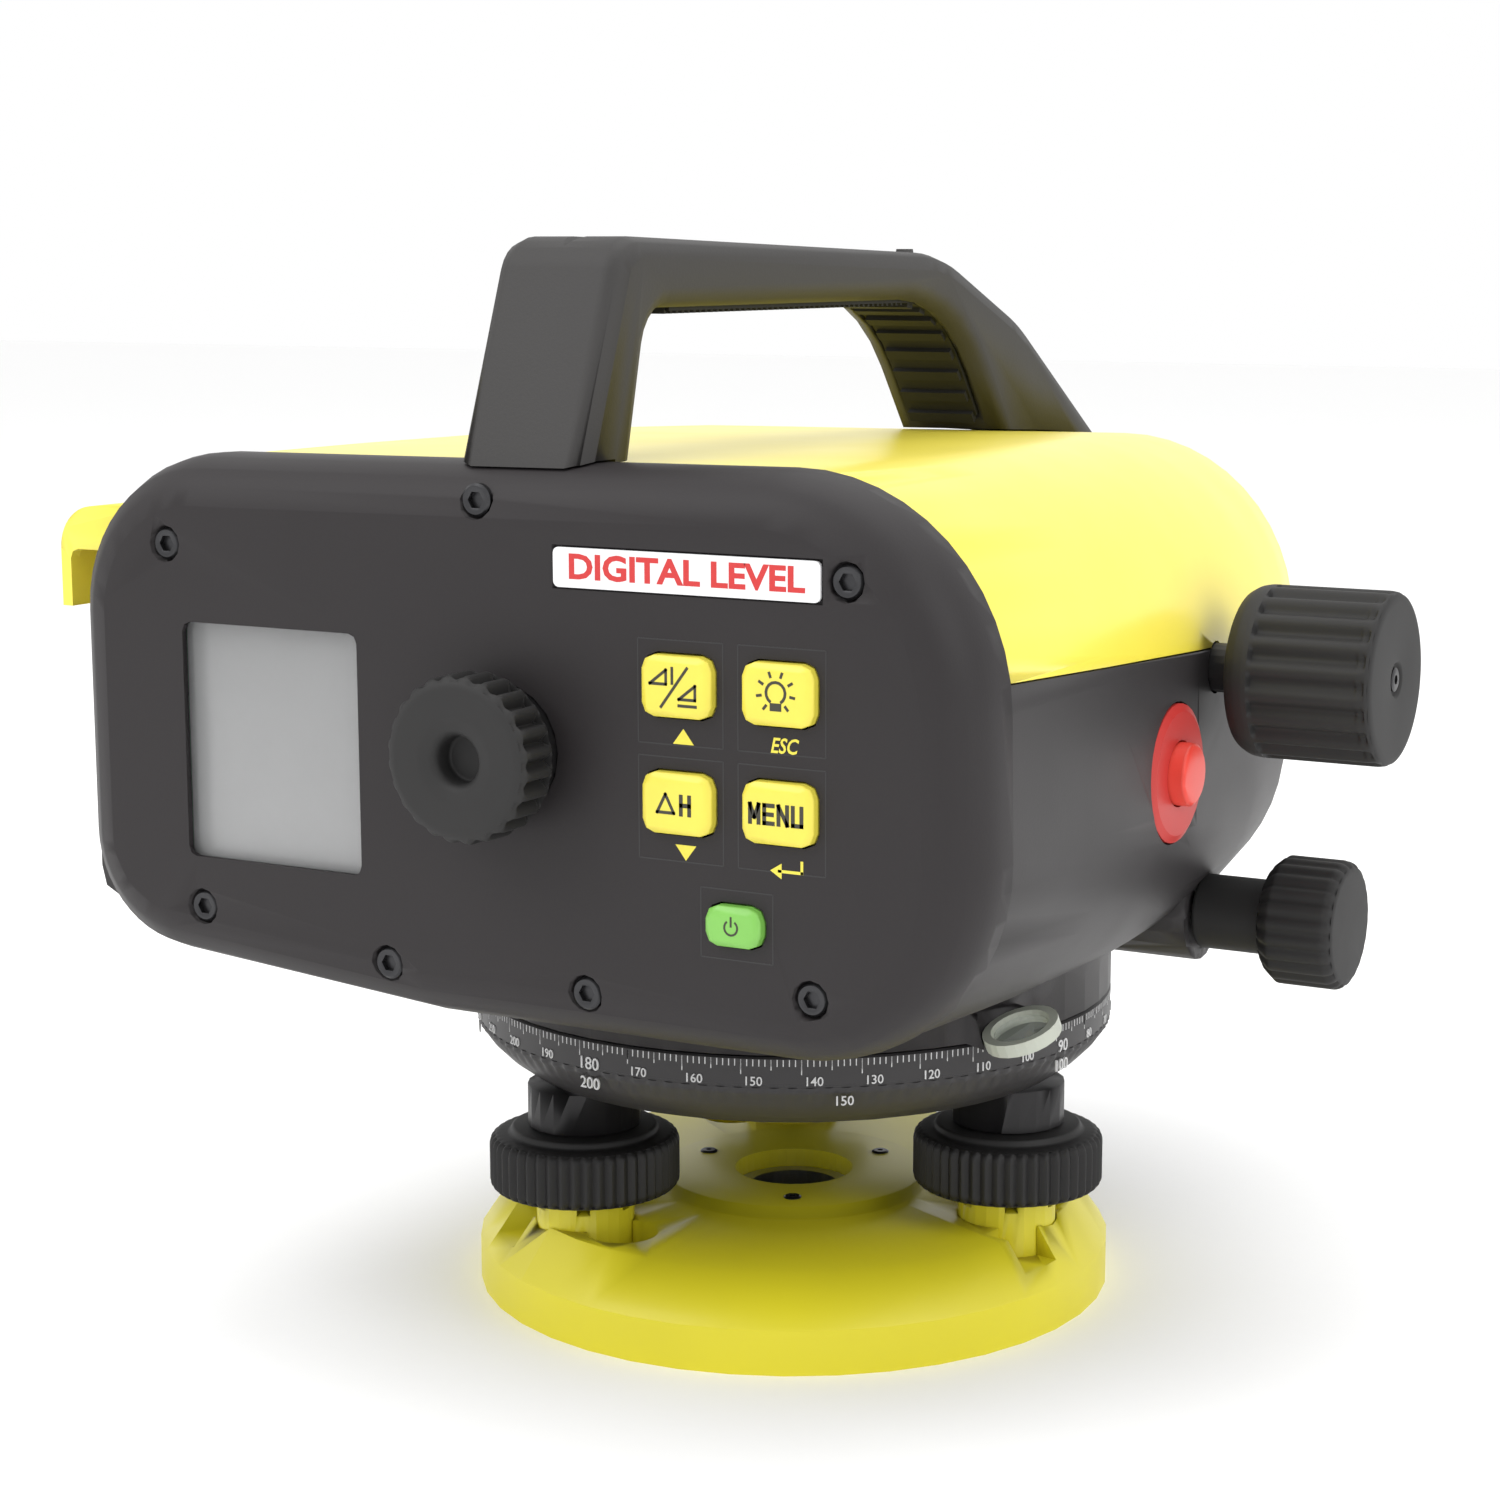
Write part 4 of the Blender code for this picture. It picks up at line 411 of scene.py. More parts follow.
def geometryTree(name, inputs):  # an empty Geometry Nodes tree with named inputs
    tree = bpy.data.node_groups.new(name, "GeometryNodeTree")
    tree.interface.new_socket("Geometry", in_out="INPUT", socket_type="NodeSocketGeometry")
    for label, kind in inputs.items():
        tree.interface.new_socket(label, in_out="INPUT", socket_type=kind)
    tree.interface.new_socket("Geometry", in_out="OUTPUT", socket_type="NodeSocketGeometry")
    graph = Graph(tree)
    entry = tree.nodes.new("NodeGroupInput")
    return tree, graph, lambda label: Wire(graph, entry.outputs[label])


def endTree(tree, graph, given, geometry):  # realise, give the finish and hand the geometry out
    real = graph.node("GeometryNodeRealizeInstances", {}, {"Geometry": geometry})
    finished = graph.node("GeometryNodeSetMaterial", {}, {"Geometry": real, "Material": given("Finish")})
    out = tree.nodes.new("NodeGroupOutput")
    tree.links.new(finished.socket, out.inputs["Geometry"])


def runTree(tree, name, mesh, values):  # puts a mesh through a tree and returns the plain result
    helper = bpy.data.objects.new(name + "Helper", mesh)
    bpy.context.scene.collection.objects.link(helper)
    modifier = helper.modifiers.new(name, "NODES")
    modifier.node_group = tree
    for item in tree.interface.items_tree:
        if item.item_type == "SOCKET" and item.in_out == "INPUT" and item.name in values:
            modifier[item.identifier] = values[item.name]
    result = flattened(helper)
    bpy.data.objects.remove(helper)
    return result


def makeFluteTree():  # presses flutes into a turned body, as deep as its fluteDepth attribute says
    inputs = {"Flutes": "NodeSocketFloat", "Sharpness": "NodeSocketFloat", "Finish": "NodeSocketMaterial"}
    tree, graph, given = geometryTree("fluteTree", inputs)
    place = graph.node("GeometryNodeInputPosition", {}, {})
    across = graph.node("ShaderNodeSeparateXYZ", {}, {"Vector": place}, "X")
    along = graph.node("ShaderNodeSeparateXYZ", {}, {"Vector": place}, "Y")
    angle = graph.node("ShaderNodeMath", {"operation": "ARCTAN2"}, {0: along, 1: across})
    wave = graph.node("ShaderNodeMath", {"operation": "COSINE"}, {0: angle * given("Flutes")})
    ridge = (wave * 0.5 + 0.5) ** given("Sharpness")
    depth = graph.node("GeometryNodeInputNamedAttribute", {"data_type": "FLOAT"}, {"Name": "fluteDepth"})
    flat = graph.node("ShaderNodeCombineXYZ", {}, {"X": across, "Y": along})
    outward = graph.node("ShaderNodeVectorMath", {"operation": "NORMALIZE"}, {0: flat})
    inwards = graph.node(
        "ShaderNodeVectorMath", {"operation": "SCALE"}, {0: outward, "Scale": ridge * depth * -1.0}
    )
    moved = graph.node("GeometryNodeSetPosition", {}, {"Geometry": given("Geometry"), "Offset": inwards})
    endTree(tree, graph, given, moved)
    return tree


def makeRingTree():  # bars standing on a circle round Z, such as the lines of a scale
    inputs = {
        "Count": "NodeSocketInt", "Radius": "NodeSocketFloat", "Bar": "NodeSocketVector",
        "Height": "NodeSocketFloat", "Finish": "NodeSocketMaterial",
    }
    tree, graph, given = geometryTree("ringTree", inputs)
    circle = graph.node("GeometryNodeMeshCircle", {}, {"Vertices": given("Count"), "Radius": given("Radius")})
    bar = graph.node("GeometryNodeMeshCube", {}, {"Size": given("Bar")})
    number = graph.node("GeometryNodeInputIndex", {}, {})
    turn = graph.node("ShaderNodeCombineXYZ", {}, {"Z": number * math.tau / given("Count")})
    bars = graph.node(
        "GeometryNodeInstanceOnPoints", {}, {"Points": circle, "Instance": bar, "Rotation": turn}
    )
    lift = graph.node("ShaderNodeCombineXYZ", {}, {"Z": given("Height")})
    lifted = graph.node(
        "GeometryNodeTranslateInstances", {}, {"Instances": bars, "Translation": lift, "Local Space": False}
    )
    endTree(tree, graph, given, lifted)
    return tree


def makeRibTree():  # bars across a path, square to it
    inputs = {"Count": "NodeSocketInt", "Bar": "NodeSocketVector", "Finish": "NodeSocketMaterial"}
    tree, graph, given = geometryTree("ribTree", inputs)
    path = graph.node("GeometryNodeMeshToCurve", {}, {"Mesh": given("Geometry")})
    points = graph.node(
        "GeometryNodeCurveToPoints", {"mode": "COUNT"}, {"Curve": path, "Count": given("Count")}
    )
    tangent = Wire(graph, points.socket.node.outputs["Tangent"])
    turn = graph.node("FunctionNodeAlignRotationToVector", {"axis": "Y"}, {"Vector": tangent})
    bar = graph.node("GeometryNodeMeshCube", {}, {"Size": given("Bar")})
    bars = graph.node(
        "GeometryNodeInstanceOnPoints", {}, {"Points": points, "Instance": bar, "Rotation": turn}
    )
    endTree(tree, graph, given, bars)
    return tree


def makeScatterTree():  # one copy of a shape at each vertex, such as a screw in each well
    inputs = {"Shape": "NodeSocketObject", "Finish": "NodeSocketMaterial"}
    tree, graph, given = geometryTree("scatterTree", inputs)
    shape = graph.node("GeometryNodeObjectInfo", {}, {"Object": given("Shape")}, "Geometry")
    copies = graph.node("GeometryNodeInstanceOnPoints", {}, {"Points": given("Geometry"), "Instance": shape})
    endTree(tree, graph, given, copies)
    return tree


fluteTree = makeFluteTree()
ringTree = makeRingTree()
ribTree = makeRibTree()
scatterTree = makeScatterTree()
alongX = Matrix(((0, 0, 1, 0), (1, 0, 0, 0), (0, 1, 0, 0), (0, 0, 0, 1)))
alongY = Matrix(((0, 1, 0, 0), (0, 0, 1, 0), (1, 0, 0, 0), (0, 0, 0, 1)))


def turnedMesh(rows, sides, closed=False):  # turns rows of (radius, height, flute depth) in mm round Z
    shape = bmesh.new()
    depthLayer = shape.verts.layers.float.new("fluteDepth")
    columns = []
    for side in range(sides):
        angle = math.tau * side / sides
        column = []
        for index, row in enumerate(rows):
            if row[0] == 0 and columns:
                column.append(columns[0][index])
                continue
            spot = Vector((row[0] * math.cos(angle), row[0] * math.sin(angle), row[1])) * mm
            vertex = shape.verts.new(spot)
            vertex[depthLayer] = (row[2] if len(row) > 2 else 0.0) * mm
            column.append(vertex)
        columns.append(column)
    last = len(rows) if closed else len(rows) - 1
    for side in range(sides):
        near, far = columns[side], columns[(side + 1) % sides]
        for index in range(last):
            after = (index + 1) % len(rows)
            corners = list(dict.fromkeys((near[index], near[after], far[after], far[index])))
            if len(corners) > 2:
                shape.faces.new(corners)
    bmesh.ops.recalc_face_normals(shape, faces=shape.faces)
    mesh = bpy.data.meshes.new("turned")
    shape.to_mesh(mesh)
    shape.free()
    return mesh


# softens every corner of a profile of (radius, height, flute depth) points
def rounded(points, radius=0.5, steps=3):
    out = []
    for index, point in enumerate(points):
        before, after = points[index - 1], points[(index + 1) % len(points)]
        here = Vector(point[:2])
        depth = point[2] if len(point) > 2 else 0.0
        legs = [Vector(before[:2]) - here, Vector(after[:2]) - here]
        reach = min(radius, *(leg.length * 0.45 for leg in legs))
        if index in (0, len(points) - 1) or point[0] == 0 or min(leg.length for leg in legs) < 1e-4:
            out.append((here.x, here.y, depth))
            continue
        start, end = (here + leg.normalized() * reach for leg in legs)
        for step in range(steps + 1):
            share = step / steps
            spot = start * (1 - share) ** 2 + here * 2 * share * (1 - share) + end * share ** 2
            out.append((spot.x, spot.y, depth))
    return out


def fluted(name, rows, sides, flutes, sharpness, matrix, finish, nodes, angle=40.0):
    mesh = runTree(
        fluteTree, name, turnedMesh(rows, sides),
        {"Flutes": float(flutes), "Sharpness": sharpness, "Finish": finish},
    )
    mesh.transform(matrix)
    piece = linkPiece(name, mesh, finish, bodyOf[nodes[0]], angle, slotOf(nodes[0]))
    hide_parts(*nodes)
    return piece


focusKnob = {
    "flutes": 20, "depth": 1.15, "sharpness": 1.3, "plainCollar": 4.5, "plainRim": 0.6, "screwRadius": 1.9,
}


def makeFocusKnob(look):
    low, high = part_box("focus_knob")
    start, end = low.x / mm, high.x / mm
    radius = (high.z - low.z) / 2 / mm - 0.02
    centre = Vector((0, (low.y + high.y) / 2, (low.z + high.z) / 2))
    collar = start + look["plainCollar"]
    rim = end - look["plainRim"]
    deep = look["depth"]
    profile = [
        (0, start + 0.4), (6.5, start + 0.4), (7.2, start), (radius - 3.2, start),
        (radius - 1.2, start + 0.8), (radius - 0.25, start + 2.4), (radius, collar - 0.6),
        (radius, collar, 0.0), (radius, collar + 1.2, deep), (radius, rim - 2.4, deep),
        (radius, rim - 1.2, deep * 0.8), (radius - 0.2, rim, 0.15), (radius - 0.7, end - 0.15),
        (radius - 1.5, end), (look["screwRadius"] + 0.9, end), (look["screwRadius"] + 0.5, end - 0.7),
        (0, end - 0.7),
    ]
    matrix = Matrix.Translation(centre) @ alongX
    fluted(
        "focusKnobSkin", rounded(profile, 0.5), 240, look["flutes"], look["sharpness"], matrix, knobRubber,
        ["focus_knob"],
    )
    screw = turnedMesh(
        [
            (0, end - 0.9), (look["screwRadius"], end - 0.9), (look["screwRadius"], end - 0.25),
            (look["screwRadius"] - 0.3, end - 0.1), (0.75, end - 0.1), (0.75, end - 0.6), (0, end - 0.6),
        ],
        24,
    )
    screw.transform(matrix)
    linkPiece("focusKnobScrew", screw, screwSteel, "focus_wheel")


driveKnob = {"flutes": 24, "depth": 0.5, "sharpness": 1.5, "neckRadius": 6.25, "gripLength": 13.4}


def makeDriveKnob(look):
    low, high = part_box("drive_knob")
    start, end = low.x / mm, high.x / mm
    radius = (high.z - low.z) / 2 / mm - 0.02
    neck = look["neckRadius"]
    body = end - look["gripLength"]
    centre = Vector((0, (low.y + high.y) / 2, (low.z + high.z) / 2))
    deep = look["depth"]
    profile = [
        (0, start), (neck - 0.4, start), (neck, start + 0.5), (neck, body), (radius - 2.6, body),
        (radius - 1.6, body + 0.5, deep), (radius, body + 2.4, deep), (radius, end - 1.6, deep),
        (radius - 0.5, end - 0.5, deep), (radius - 1.4, end, 0.1), (0, end),
    ]
    matrix = Matrix.Translation(centre) @ alongX
    fluted(
        "driveKnobSkin", rounded(profile, 0.45), 240, look["flutes"], look["sharpness"], matrix, knobRubber,
        ["drive_knob"],
    )


eyepieceRing = {"scallops": 24, "depth": 1.8, "sharpness": 1.5, "hole": 3.5}


def makeEyepieceRing(look):
    low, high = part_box("eyepiece_ring")
    start, end = low.y / mm, high.y / mm
    radius = (high.x - low.x) / 2 / mm - 0.02
    centre = Vector((0, 0, (low.z + high.z) / 2))
    deep = look["depth"]
    hole = look["hole"]
    profile = [
        (0, start + 4.2), (hole, start + 4.2), (hole, start + 1.4), (hole + 0.7, start + 0.5),
        (hole + 2.6, start), (radius - 1.9, start), (radius - 1.2, start + 0.2, 0.0),
        (radius - 0.4, start + 0.8, deep * 0.25), (radius, start + 1.6, deep), (radius, end - 1.6, deep),
        (radius - 0.1, end - 0.9, deep * 0.8), (radius - 0.5, end - 0.2, 0.2), (radius - 2.2, end),
        (0, end),
    ]
    matrix = Matrix.Translation(centre) @ alongY
    fluted(
        "eyepieceRingSkin", rounded(profile, 0.5), 260, look["scallops"], look["sharpness"], matrix,
        knobRubber, ["eyepiece_ring"],
    )


footKnob = {
    "ribs": 48, "depth": 0.65, "sharpness": 1.2, "collar": 12.4, "spindle": 3.45, "low": 20.5, "high": 31.8,
}


def makeFootKnob(letter, look):
    node = "foot_screw_" + letter
    low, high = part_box(node)
    joint = jointOf["foot_" + letter + "_turn"]
    centre = Vector((joint["pos_m"][0], joint["pos_m"][1], 0))
    bottom, top = low.z / mm, high.z / mm
    radius = (high.x - low.x) / 2 / mm - 0.02
    knobLow, knobHigh = look["low"], look["high"]
    deep = look["depth"]
    spindle = look["spindle"]
    profile = [
        (0, bottom), (3.5, bottom), (5.1, bottom + 2.5), (spindle, bottom + 5.0), (spindle, knobLow),
        (8.6, knobLow), (9.0, knobLow + 0.5), (radius - 2.2, knobLow + 0.5),
        (radius - 0.9, knobLow + 0.7, 0.1), (radius - 0.2, knobLow + 1.4, deep),
        (radius, knobLow + 2.0, deep), (radius, knobHigh - 2.8, deep), (radius - 0.3, knobHigh - 1.9, deep),
        (radius - 1.2, knobHigh - 1.3, 0.15), (look["collar"] + 0.4, knobHigh - 1.2),
        (look["collar"], knobHigh - 1.0), (look["collar"] - 0.3, knobHigh), (spindle, knobHigh),
        (spindle, top), (0, top),
    ]
    fluted(
        node + "Skin", rounded(profile, 0.4), 288, look["ribs"], look["sharpness"],
        Matrix.Translation(centre), footRubber, [node],
    )


makeFocusKnob(focusKnob)
makeDriveKnob(driveKnob)
makeEyepieceRing(eyepieceRing)
for letter in "abc":
    makeFootKnob(letter, footKnob)
print("knobs turned and fluted")


circleLook = {
    "knurls": 120, "depth": 0.45, "tickWidth": 0.16, "tickProud": 0.05, "shortTick": 1.1, "middleTick": 1.7,
    "longTick": 2.4, "degreeSize": 2.5, "gonSize": 2.7, "zeroBearing": 82.0, "inner": 46.25,
}


def makeText(name, words, size, matrix, finish, body, thick=0.06, bold=0.0):
    curve = bpy.data.curves.new(name, "FONT")
    curve.body = words
    curve.size = size * mm
    curve.align_x = "CENTER"
    curve.align_y = "CENTER"
    curve.extrude = thick / 2 * mm
    curve.offset = bold * mm
    curve.resolution_u = 3
    helper = bpy.data.objects.new(name + "Helper", curve)
    bpy.context.scene.collection.objects.link(helper)
    bpy.context.view_layer.update()
    mesh = flattenedText(helper)
    bpy.data.objects.remove(helper)
    mesh.transform(matrix)
    return mesh if body is None else linkPiece(name, mesh, finish, body)


def flattenedText(helper):
    graph = bpy.context.evaluated_depsgraph_get()
    mesh = bpy.data.meshes.new_from_object(helper.evaluated_get(graph), depsgraph=graph)
    shape = bmesh.new()
    shape.from_mesh(mesh)
    bmesh.ops.remove_doubles(shape, verts=shape.verts, dist=1e-7)
    bmesh.ops.recalc_face_normals(shape, faces=shape.faces)
    shape.to_mesh(mesh)
    shape.free()
    return mesh


def joined(name, meshes, finish, body):
    shape = bmesh.new()
    for mesh in meshes:
        shape.from_mesh(mesh)
    whole = bpy.data.meshes.new(name)
    shape.to_mesh(whole)
    shape.free()
    return linkPiece(name, whole, finish, body)


def makeCircle(look):
    low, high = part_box("circle_ring")
    bottom, top = low.z / mm, high.z / mm
    radius = high.x / mm - 0.02
    inner = look["inner"]
    deep = look["depth"]
    profile = [
        (inner, bottom), (47.6, bottom), (50.6, bottom + 2.2), (52.8, bottom + 4.4),
        (radius - 0.5, bottom + 6.2, deep), (radius, bottom + 6.8, deep), (radius, bottom + 7.4, deep),
        (radius - 0.25, bottom + 7.5, 0.0), (radius - 0.25, bottom + 7.8), (radius, bottom + 7.9),
        (radius, top - 0.3), (radius - 0.3, top), (inner, top),
    ]
    mesh = runTree(
        fluteTree, "circleRingSkin", turnedMesh(profile, 480, True),
        {"Flutes": float(look["knurls"]), "Sharpness": 1.0, "Finish": ringPlastic},
    )
    piece = linkPiece("circleRingSkin", mesh, ringPlastic, "circle", 40.0, slotOf("circle_ring"))
    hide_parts("circle_ring")
    proud = look["tickProud"]
    lines = []
    for count, length in ((360, look["shortTick"]), (72, look["middleTick"]), (36, look["longTick"])):
        bar = ((0.3 + proud) * mm, look["tickWidth"] * mm, length * mm)
        values = {
            "Count": count, "Radius": (radius - 0.15 + proud / 2) * mm, "Bar": bar,
            "Height": (top - 0.35 - length / 2) * mm, "Finish": whiteInk,
        }
        lines.append(runTree(ringTree, f"circleLines{count}", bpy.data.meshes.new("empty"), values))
    joined("circleLines", lines, whiteInk, "circle")
    numbers = []
    for degree in range(0, 360, 10):
        large = degree % 90 == 0
        bearing = math.radians(look["zeroBearing"] - degree)
        words = str(degree)
        size = look["degreeSize"] * (1.15 if large else 0.82)
        numbers.append(ringText(words, size, bearing, radius, top - look["longTick"] - 1.5))
    for gon in range(0, 400, 50):
        bearing = math.radians(look["zeroBearing"] - gon * 0.9)
        size = look["gonSize"] * (1.0 if gon % 100 == 0 else 0.8)
        numbers.append(ringText(str(gon), size, bearing, radius - 0.3, bottom + 5.2))
    joined("circleNumbers", numbers, whiteInk, "circle")


def ringText(words, size, bearing, radius, height):  # a flat number on the ring, upright and facing outwards
    outward = Vector((math.cos(bearing), math.sin(bearing), 0))
    sideways = Vector((-math.sin(bearing), math.cos(bearing), 0))
    up = Vector((0, 0, 1))
    turn = Matrix((sideways, up, outward)).transposed().to_4x4()
    place = outward * (radius + 0.01) * mm + up * height * mm
    return makeText("ringNumber", words, size, Matrix.Translation(place) @ turn, whiteInk, None, 0.3, 0.012)


makeCircle(circleLook)
print("degree circle engraved")


panelScrews = {
    "places": (
        (-61.5, 131.5), (-4.0, 140.4), (56.5, 131.7),
        (-56.3, 75.2), (-21.2, 70.1), (14.0, 69.6), (51.1, 73.1),
    ),
    "headRadius": 2.45, "hexRadius": 1.35, "sink": 0.35,
}


def screwHead(look):  # socket head facing -Y, its top at y = 0
    rim = look["headRadius"]
    shape = bmesh.new()
    rings = ((rim - 0.5, 1.2), (rim, 1.2), (rim, 0.35), (rim - 0.35, 0.0), (look["hexRadius"] + 0.25, 0.0))
    made = []
    for radius, depth in rings:
        ring = []
        for k in range(24):
            a = math.tau * k / 24
            ring.append(shape.verts.new(Vector((radius * math.cos(a), depth, radius * math.sin(a))) * mm))
        made.append(ring)
    for depth in (0.15, 1.0):
        ring = []
        for k in range(24):
            a = math.tau * k / 24
            sector = (a % (math.tau / 6)) - math.tau / 12
            radius = look["hexRadius"] * math.cos(math.tau / 12) / math.cos(sector)
            ring.append(shape.verts.new(Vector((radius * math.cos(a), depth, radius * math.sin(a))) * mm))
        made.append(ring)
    for near, far in zip(made, made[1:]):
        for k in range(24):
            after = (k + 1) % 24
            shape.faces.new((near[k], near[after], far[after], far[k]))
    shape.faces.new(made[0])
    shape.faces.new(made[-1])
    bmesh.ops.recalc_face_normals(shape, faces=shape.faces)
    mesh = bpy.data.meshes.new("screwHead")
    shape.to_mesh(mesh)
    shape.free()
    return mesh


def placesMesh(places, height):
    mesh = bpy.data.meshes.new("places")
    mesh.from_pydata([(x * mm, height, z * mm) for x, z in places], [], [])
    return mesh


def makePanelScrews(look):
    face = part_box("control_panel")[0].y
    pattern = bpy.data.objects.new("screwPattern", screwHead(look))
    bpy.context.scene.collection.objects.link(pattern)
    spots = placesMesh(look["places"], face + look["sink"] * mm)
    mesh = runTree(scatterTree, "panelScrews", spots, {"Shape": pattern, "Finish": screwSteel})
    bpy.data.objects.remove(pattern)
    linkPiece("panelScrews", mesh, screwSteel, "alidade")


makePanelScrews(panelScrews)

baseScrews = {"radius": 17.6, "head": 1.5, "angles": (-62, 58, 178)}


def makeBaseScrews(look):
    meshes = []
    for angle in look["angles"]:
        spot = Vector((math.cos(math.radians(angle)), math.sin(math.radians(angle)), 0)) * look["radius"] * mm
        head = turnedMesh(
            [
                (0, 17.0), (look["head"], 17.0), (look["head"], 17.75), (look["head"] - 0.3, 17.95),
                (0.5, 17.95), (0.5, 17.5), (0, 17.5),
            ],
            20,
        )
        head.transform(Matrix.Translation(spot))
        meshes.append(head)
    joined("baseScrews", meshes, screwSteel, "base")


makeBaseScrews(baseScrews)
print("screws set")


def slab(outline, low, high):  # closed slab of a flat outline in X and Z, between two depths along Y
    shape = bmesh.new()
    near = [shape.verts.new((x * mm, low * mm, z * mm)) for x, z in outline]
    far = [shape.verts.new((x * mm, high * mm, z * mm)) for x, z in outline]
    shape.faces.new(near)
    shape.faces.new(far)
    for index in range(len(near)):
        after = (index + 1) % len(near)
        shape.faces.new((near[index], near[after], far[after], far[index]))
    bmesh.ops.recalc_face_normals(shape, faces=shape.faces)
    mesh = bpy.data.meshes.new("slab")
    shape.to_mesh(mesh)
    shape.free()
    return mesh


def barOutline(start, end, width):
    along = Vector(end) - Vector(start)
    side = Vector((-along.y, along.x)).normalized() * width / 2
    a, b = Vector(start), Vector(end)
    return [a + side, b + side, b - side, a - side]


def arcOutline(centre, radius, width, startAngle, endAngle, steps=14):
    points = []
    for edge, order in ((radius + width / 2, 1), (radius - width / 2, -1)):
        for step in range(steps + 1)[::order]:
            angle = math.radians(startAngle + (endAngle - startAngle) * step / steps)
            points.append((centre[0] + edge * math.cos(angle), centre[1] + edge * math.sin(angle)))
    return points


def frameSlabs(left, right, low, high, width, near, far):  # four bars round a rectangle
    return [
        slab(barOutline((left, low), (right, low), width), near, far),
        slab(barOutline((left, high), (right, high), width), near, far),
        slab(barOutline((left, low), (left, high), width), near, far),
        slab(barOutline((right, low), (right, high), width), near, far),
    ]


# turns flat text so that it reads from in front of the panel
facing = Matrix(((1, 0, 0, 0), (0, 0, -1, 0), (0, 1, 0, 0), (0, 0, 0, 1)))


def panelText(name, words, x, y, z, size, finish, body, squeeze=1.0, bold=0.02):
    turn = Matrix.Translation((x * mm, y * mm, z * mm)) @ facing @ Matrix.Diagonal((squeeze, 1.0, 1.0, 1.0))
    return makeText(name, words, size, turn, finish, body, 0.08, bold)


keyPrint = {"line": 0.42, "letterLine": 0.6, "letterHeight": 2.5, "letterWidth": 1.35, "letterStep": 2.25}
strokes = {  # each letter as bars between points of a unit square
    "M": (((0, 0), (0, 1)), ((0, 1), (0.5, 0.3)), ((0.5, 0.3), (1, 1)), ((1, 1), (1, 0))),
    "E": (((0, 0), (0, 1)), ((0, 1), (1, 1)), ((0, 0.5), (0.9, 0.5)), ((0, 0), (1, 0))),
    "N": (((0, 0), (0, 1)), ((0, 1), (1, 0)), ((1, 0), (1, 1))),
    "U": (((0, 1), (0, 0)), ((0, 0), (1, 0)), ((1, 0), (1, 1))),
    "H": (((0, 0), (0, 1)), ((0, 0.5), (1, 0.5)), ((1, 0), (1, 1))),
}


def keyFace(node):
    low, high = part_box(node)
    return (low.x + high.x) / 2 / mm, low.y / mm, (low.z + high.z) / 2 / mm


def barSlab(start, end, width, near, far):  # a bar with its ends run on by half its width
    along = (Vector(end) - Vector(start)).normalized() * width / 2
    return slab(barOutline(Vector(start) - along, Vector(end) + along, width), near, far)


def barLetters(words, x, z, look, near, far):  # bold condensed letters, centred
    bars = []
    left = x - (len(words) - 1) * look["letterStep"] / 2 - look["letterWidth"] / 2
    low = z - look["letterHeight"] / 2
    for index, letter in enumerate(words):
        corner = Vector((left + index * look["letterStep"], low))
        for ends in strokes[letter]:
            start, end = (
                corner + Vector((u * look["letterWidth"], v * look["letterHeight"])) for u, v in ends
            )
            bars.append(barSlab(start, end, look["letterLine"], near, far))
    return bars


def hollowTriangle(x, z, outline, line, near, far):
    corners = [(x + u, z + v) for u, v in outline]
    return [barSlab(corners[index - 1], corners[index], line, near, far) for index in range(3)]


def makeKeyPrints(look):
    line = look["line"]
    x, y, z = keyFace("key_sight")
    near, far = y - 0.04, y + 0.2
    wedge = ((-1.5, -0.9), (1.1, -0.9), (1.1, 1.1))
    sight = [barSlab((x - 2.1, z - 2.8), (x + 2.1, z + 2.8), line, near, far)]
    sight += hollowTriangle(x - 2.4, z + 1.3, wedge, line, near, far)
    sight += hollowTriangle(x + 2.3, z - 0.7, wedge, line, near, far)
    sight.append(barSlab((x - 0.3, z + 0.6), (x - 0.3, z + 2.7), line, near, far))
    sight.append(barSlab((x + 0.8, z - 2.5), (x + 3.5, z - 2.5), line, near, far))
    joined("sightPrint", sight, darkInk, "sight_key")
    x, y, z = keyFace("key_light")
    near, far = y - 0.04, y + 0.2
    centre = Vector((x, z + 0.35))
    bulb = [slab(arcOutline(centre, 1.5, line, -60, 240), near, far)]
    bulb.append(barSlab((x - 0.35, z - 1.6), (x + 0.35, z - 1.6), 1.1, near, far))
    for index in range(8):
        angle = math.radians(-50 + index * 40)
        ray = Vector((math.cos(angle), math.sin(angle)))
        bulb.append(slab(barOutline(centre + ray * 2.2, centre + ray * 3.1, 0.4), near, far))
    joined("lightPrint", bulb, darkInk, "light_key")
    x, y, z = keyFace("key_height")
    near, far = y - 0.04, y + 0.2
    height = barLetters("H", x + 1.7, z, look, near, far)
    height += hollowTriangle(x - 1.5, z, ((-1.35, -1.2), (1.35, -1.2), (0, 1.4)), 0.45, near, far)
    joined("heightPrint", height, darkInk, "height_key")
    x, y, z = keyFace("key_menu")
    joined("menuPrint", barLetters("MENU", x, z, look, y - 0.04, y + 0.2), darkInk, "menu_key")
    x, y, z = keyFace("key_power")
    near, far = y - 0.04, y + 0.2
    power = [slab(arcOutline((x, z), 1.05, 0.3, 125, 415), near, far)]
    power.append(slab(barOutline((x, z + 0.1), (x, z + 1.6), 0.3), near, far))
    joined("powerPrint", power, darkInk, "power_key")


makeKeyPrints(keyPrint)

panelPrint = {  # a frame is half its width, then its reach below and above the key's middle
    "frameWidth": 0.18, "keyFrame": (6.9, 8.4, 6.4), "powerFrame": (5.8, 5.0, 5.0), "arrow": 1.7,
    "upArrow": (30.9, 108.6), "downArrow": (31.2, 92.2), "enter": (47.6, 91.4), "stroke": 0.42,
    "escape": (47.1, 108.5), "escapeSize": 3.0, "escapeWidth": 0.85, "slant": 0.22, "labelRound": 0.9,
}


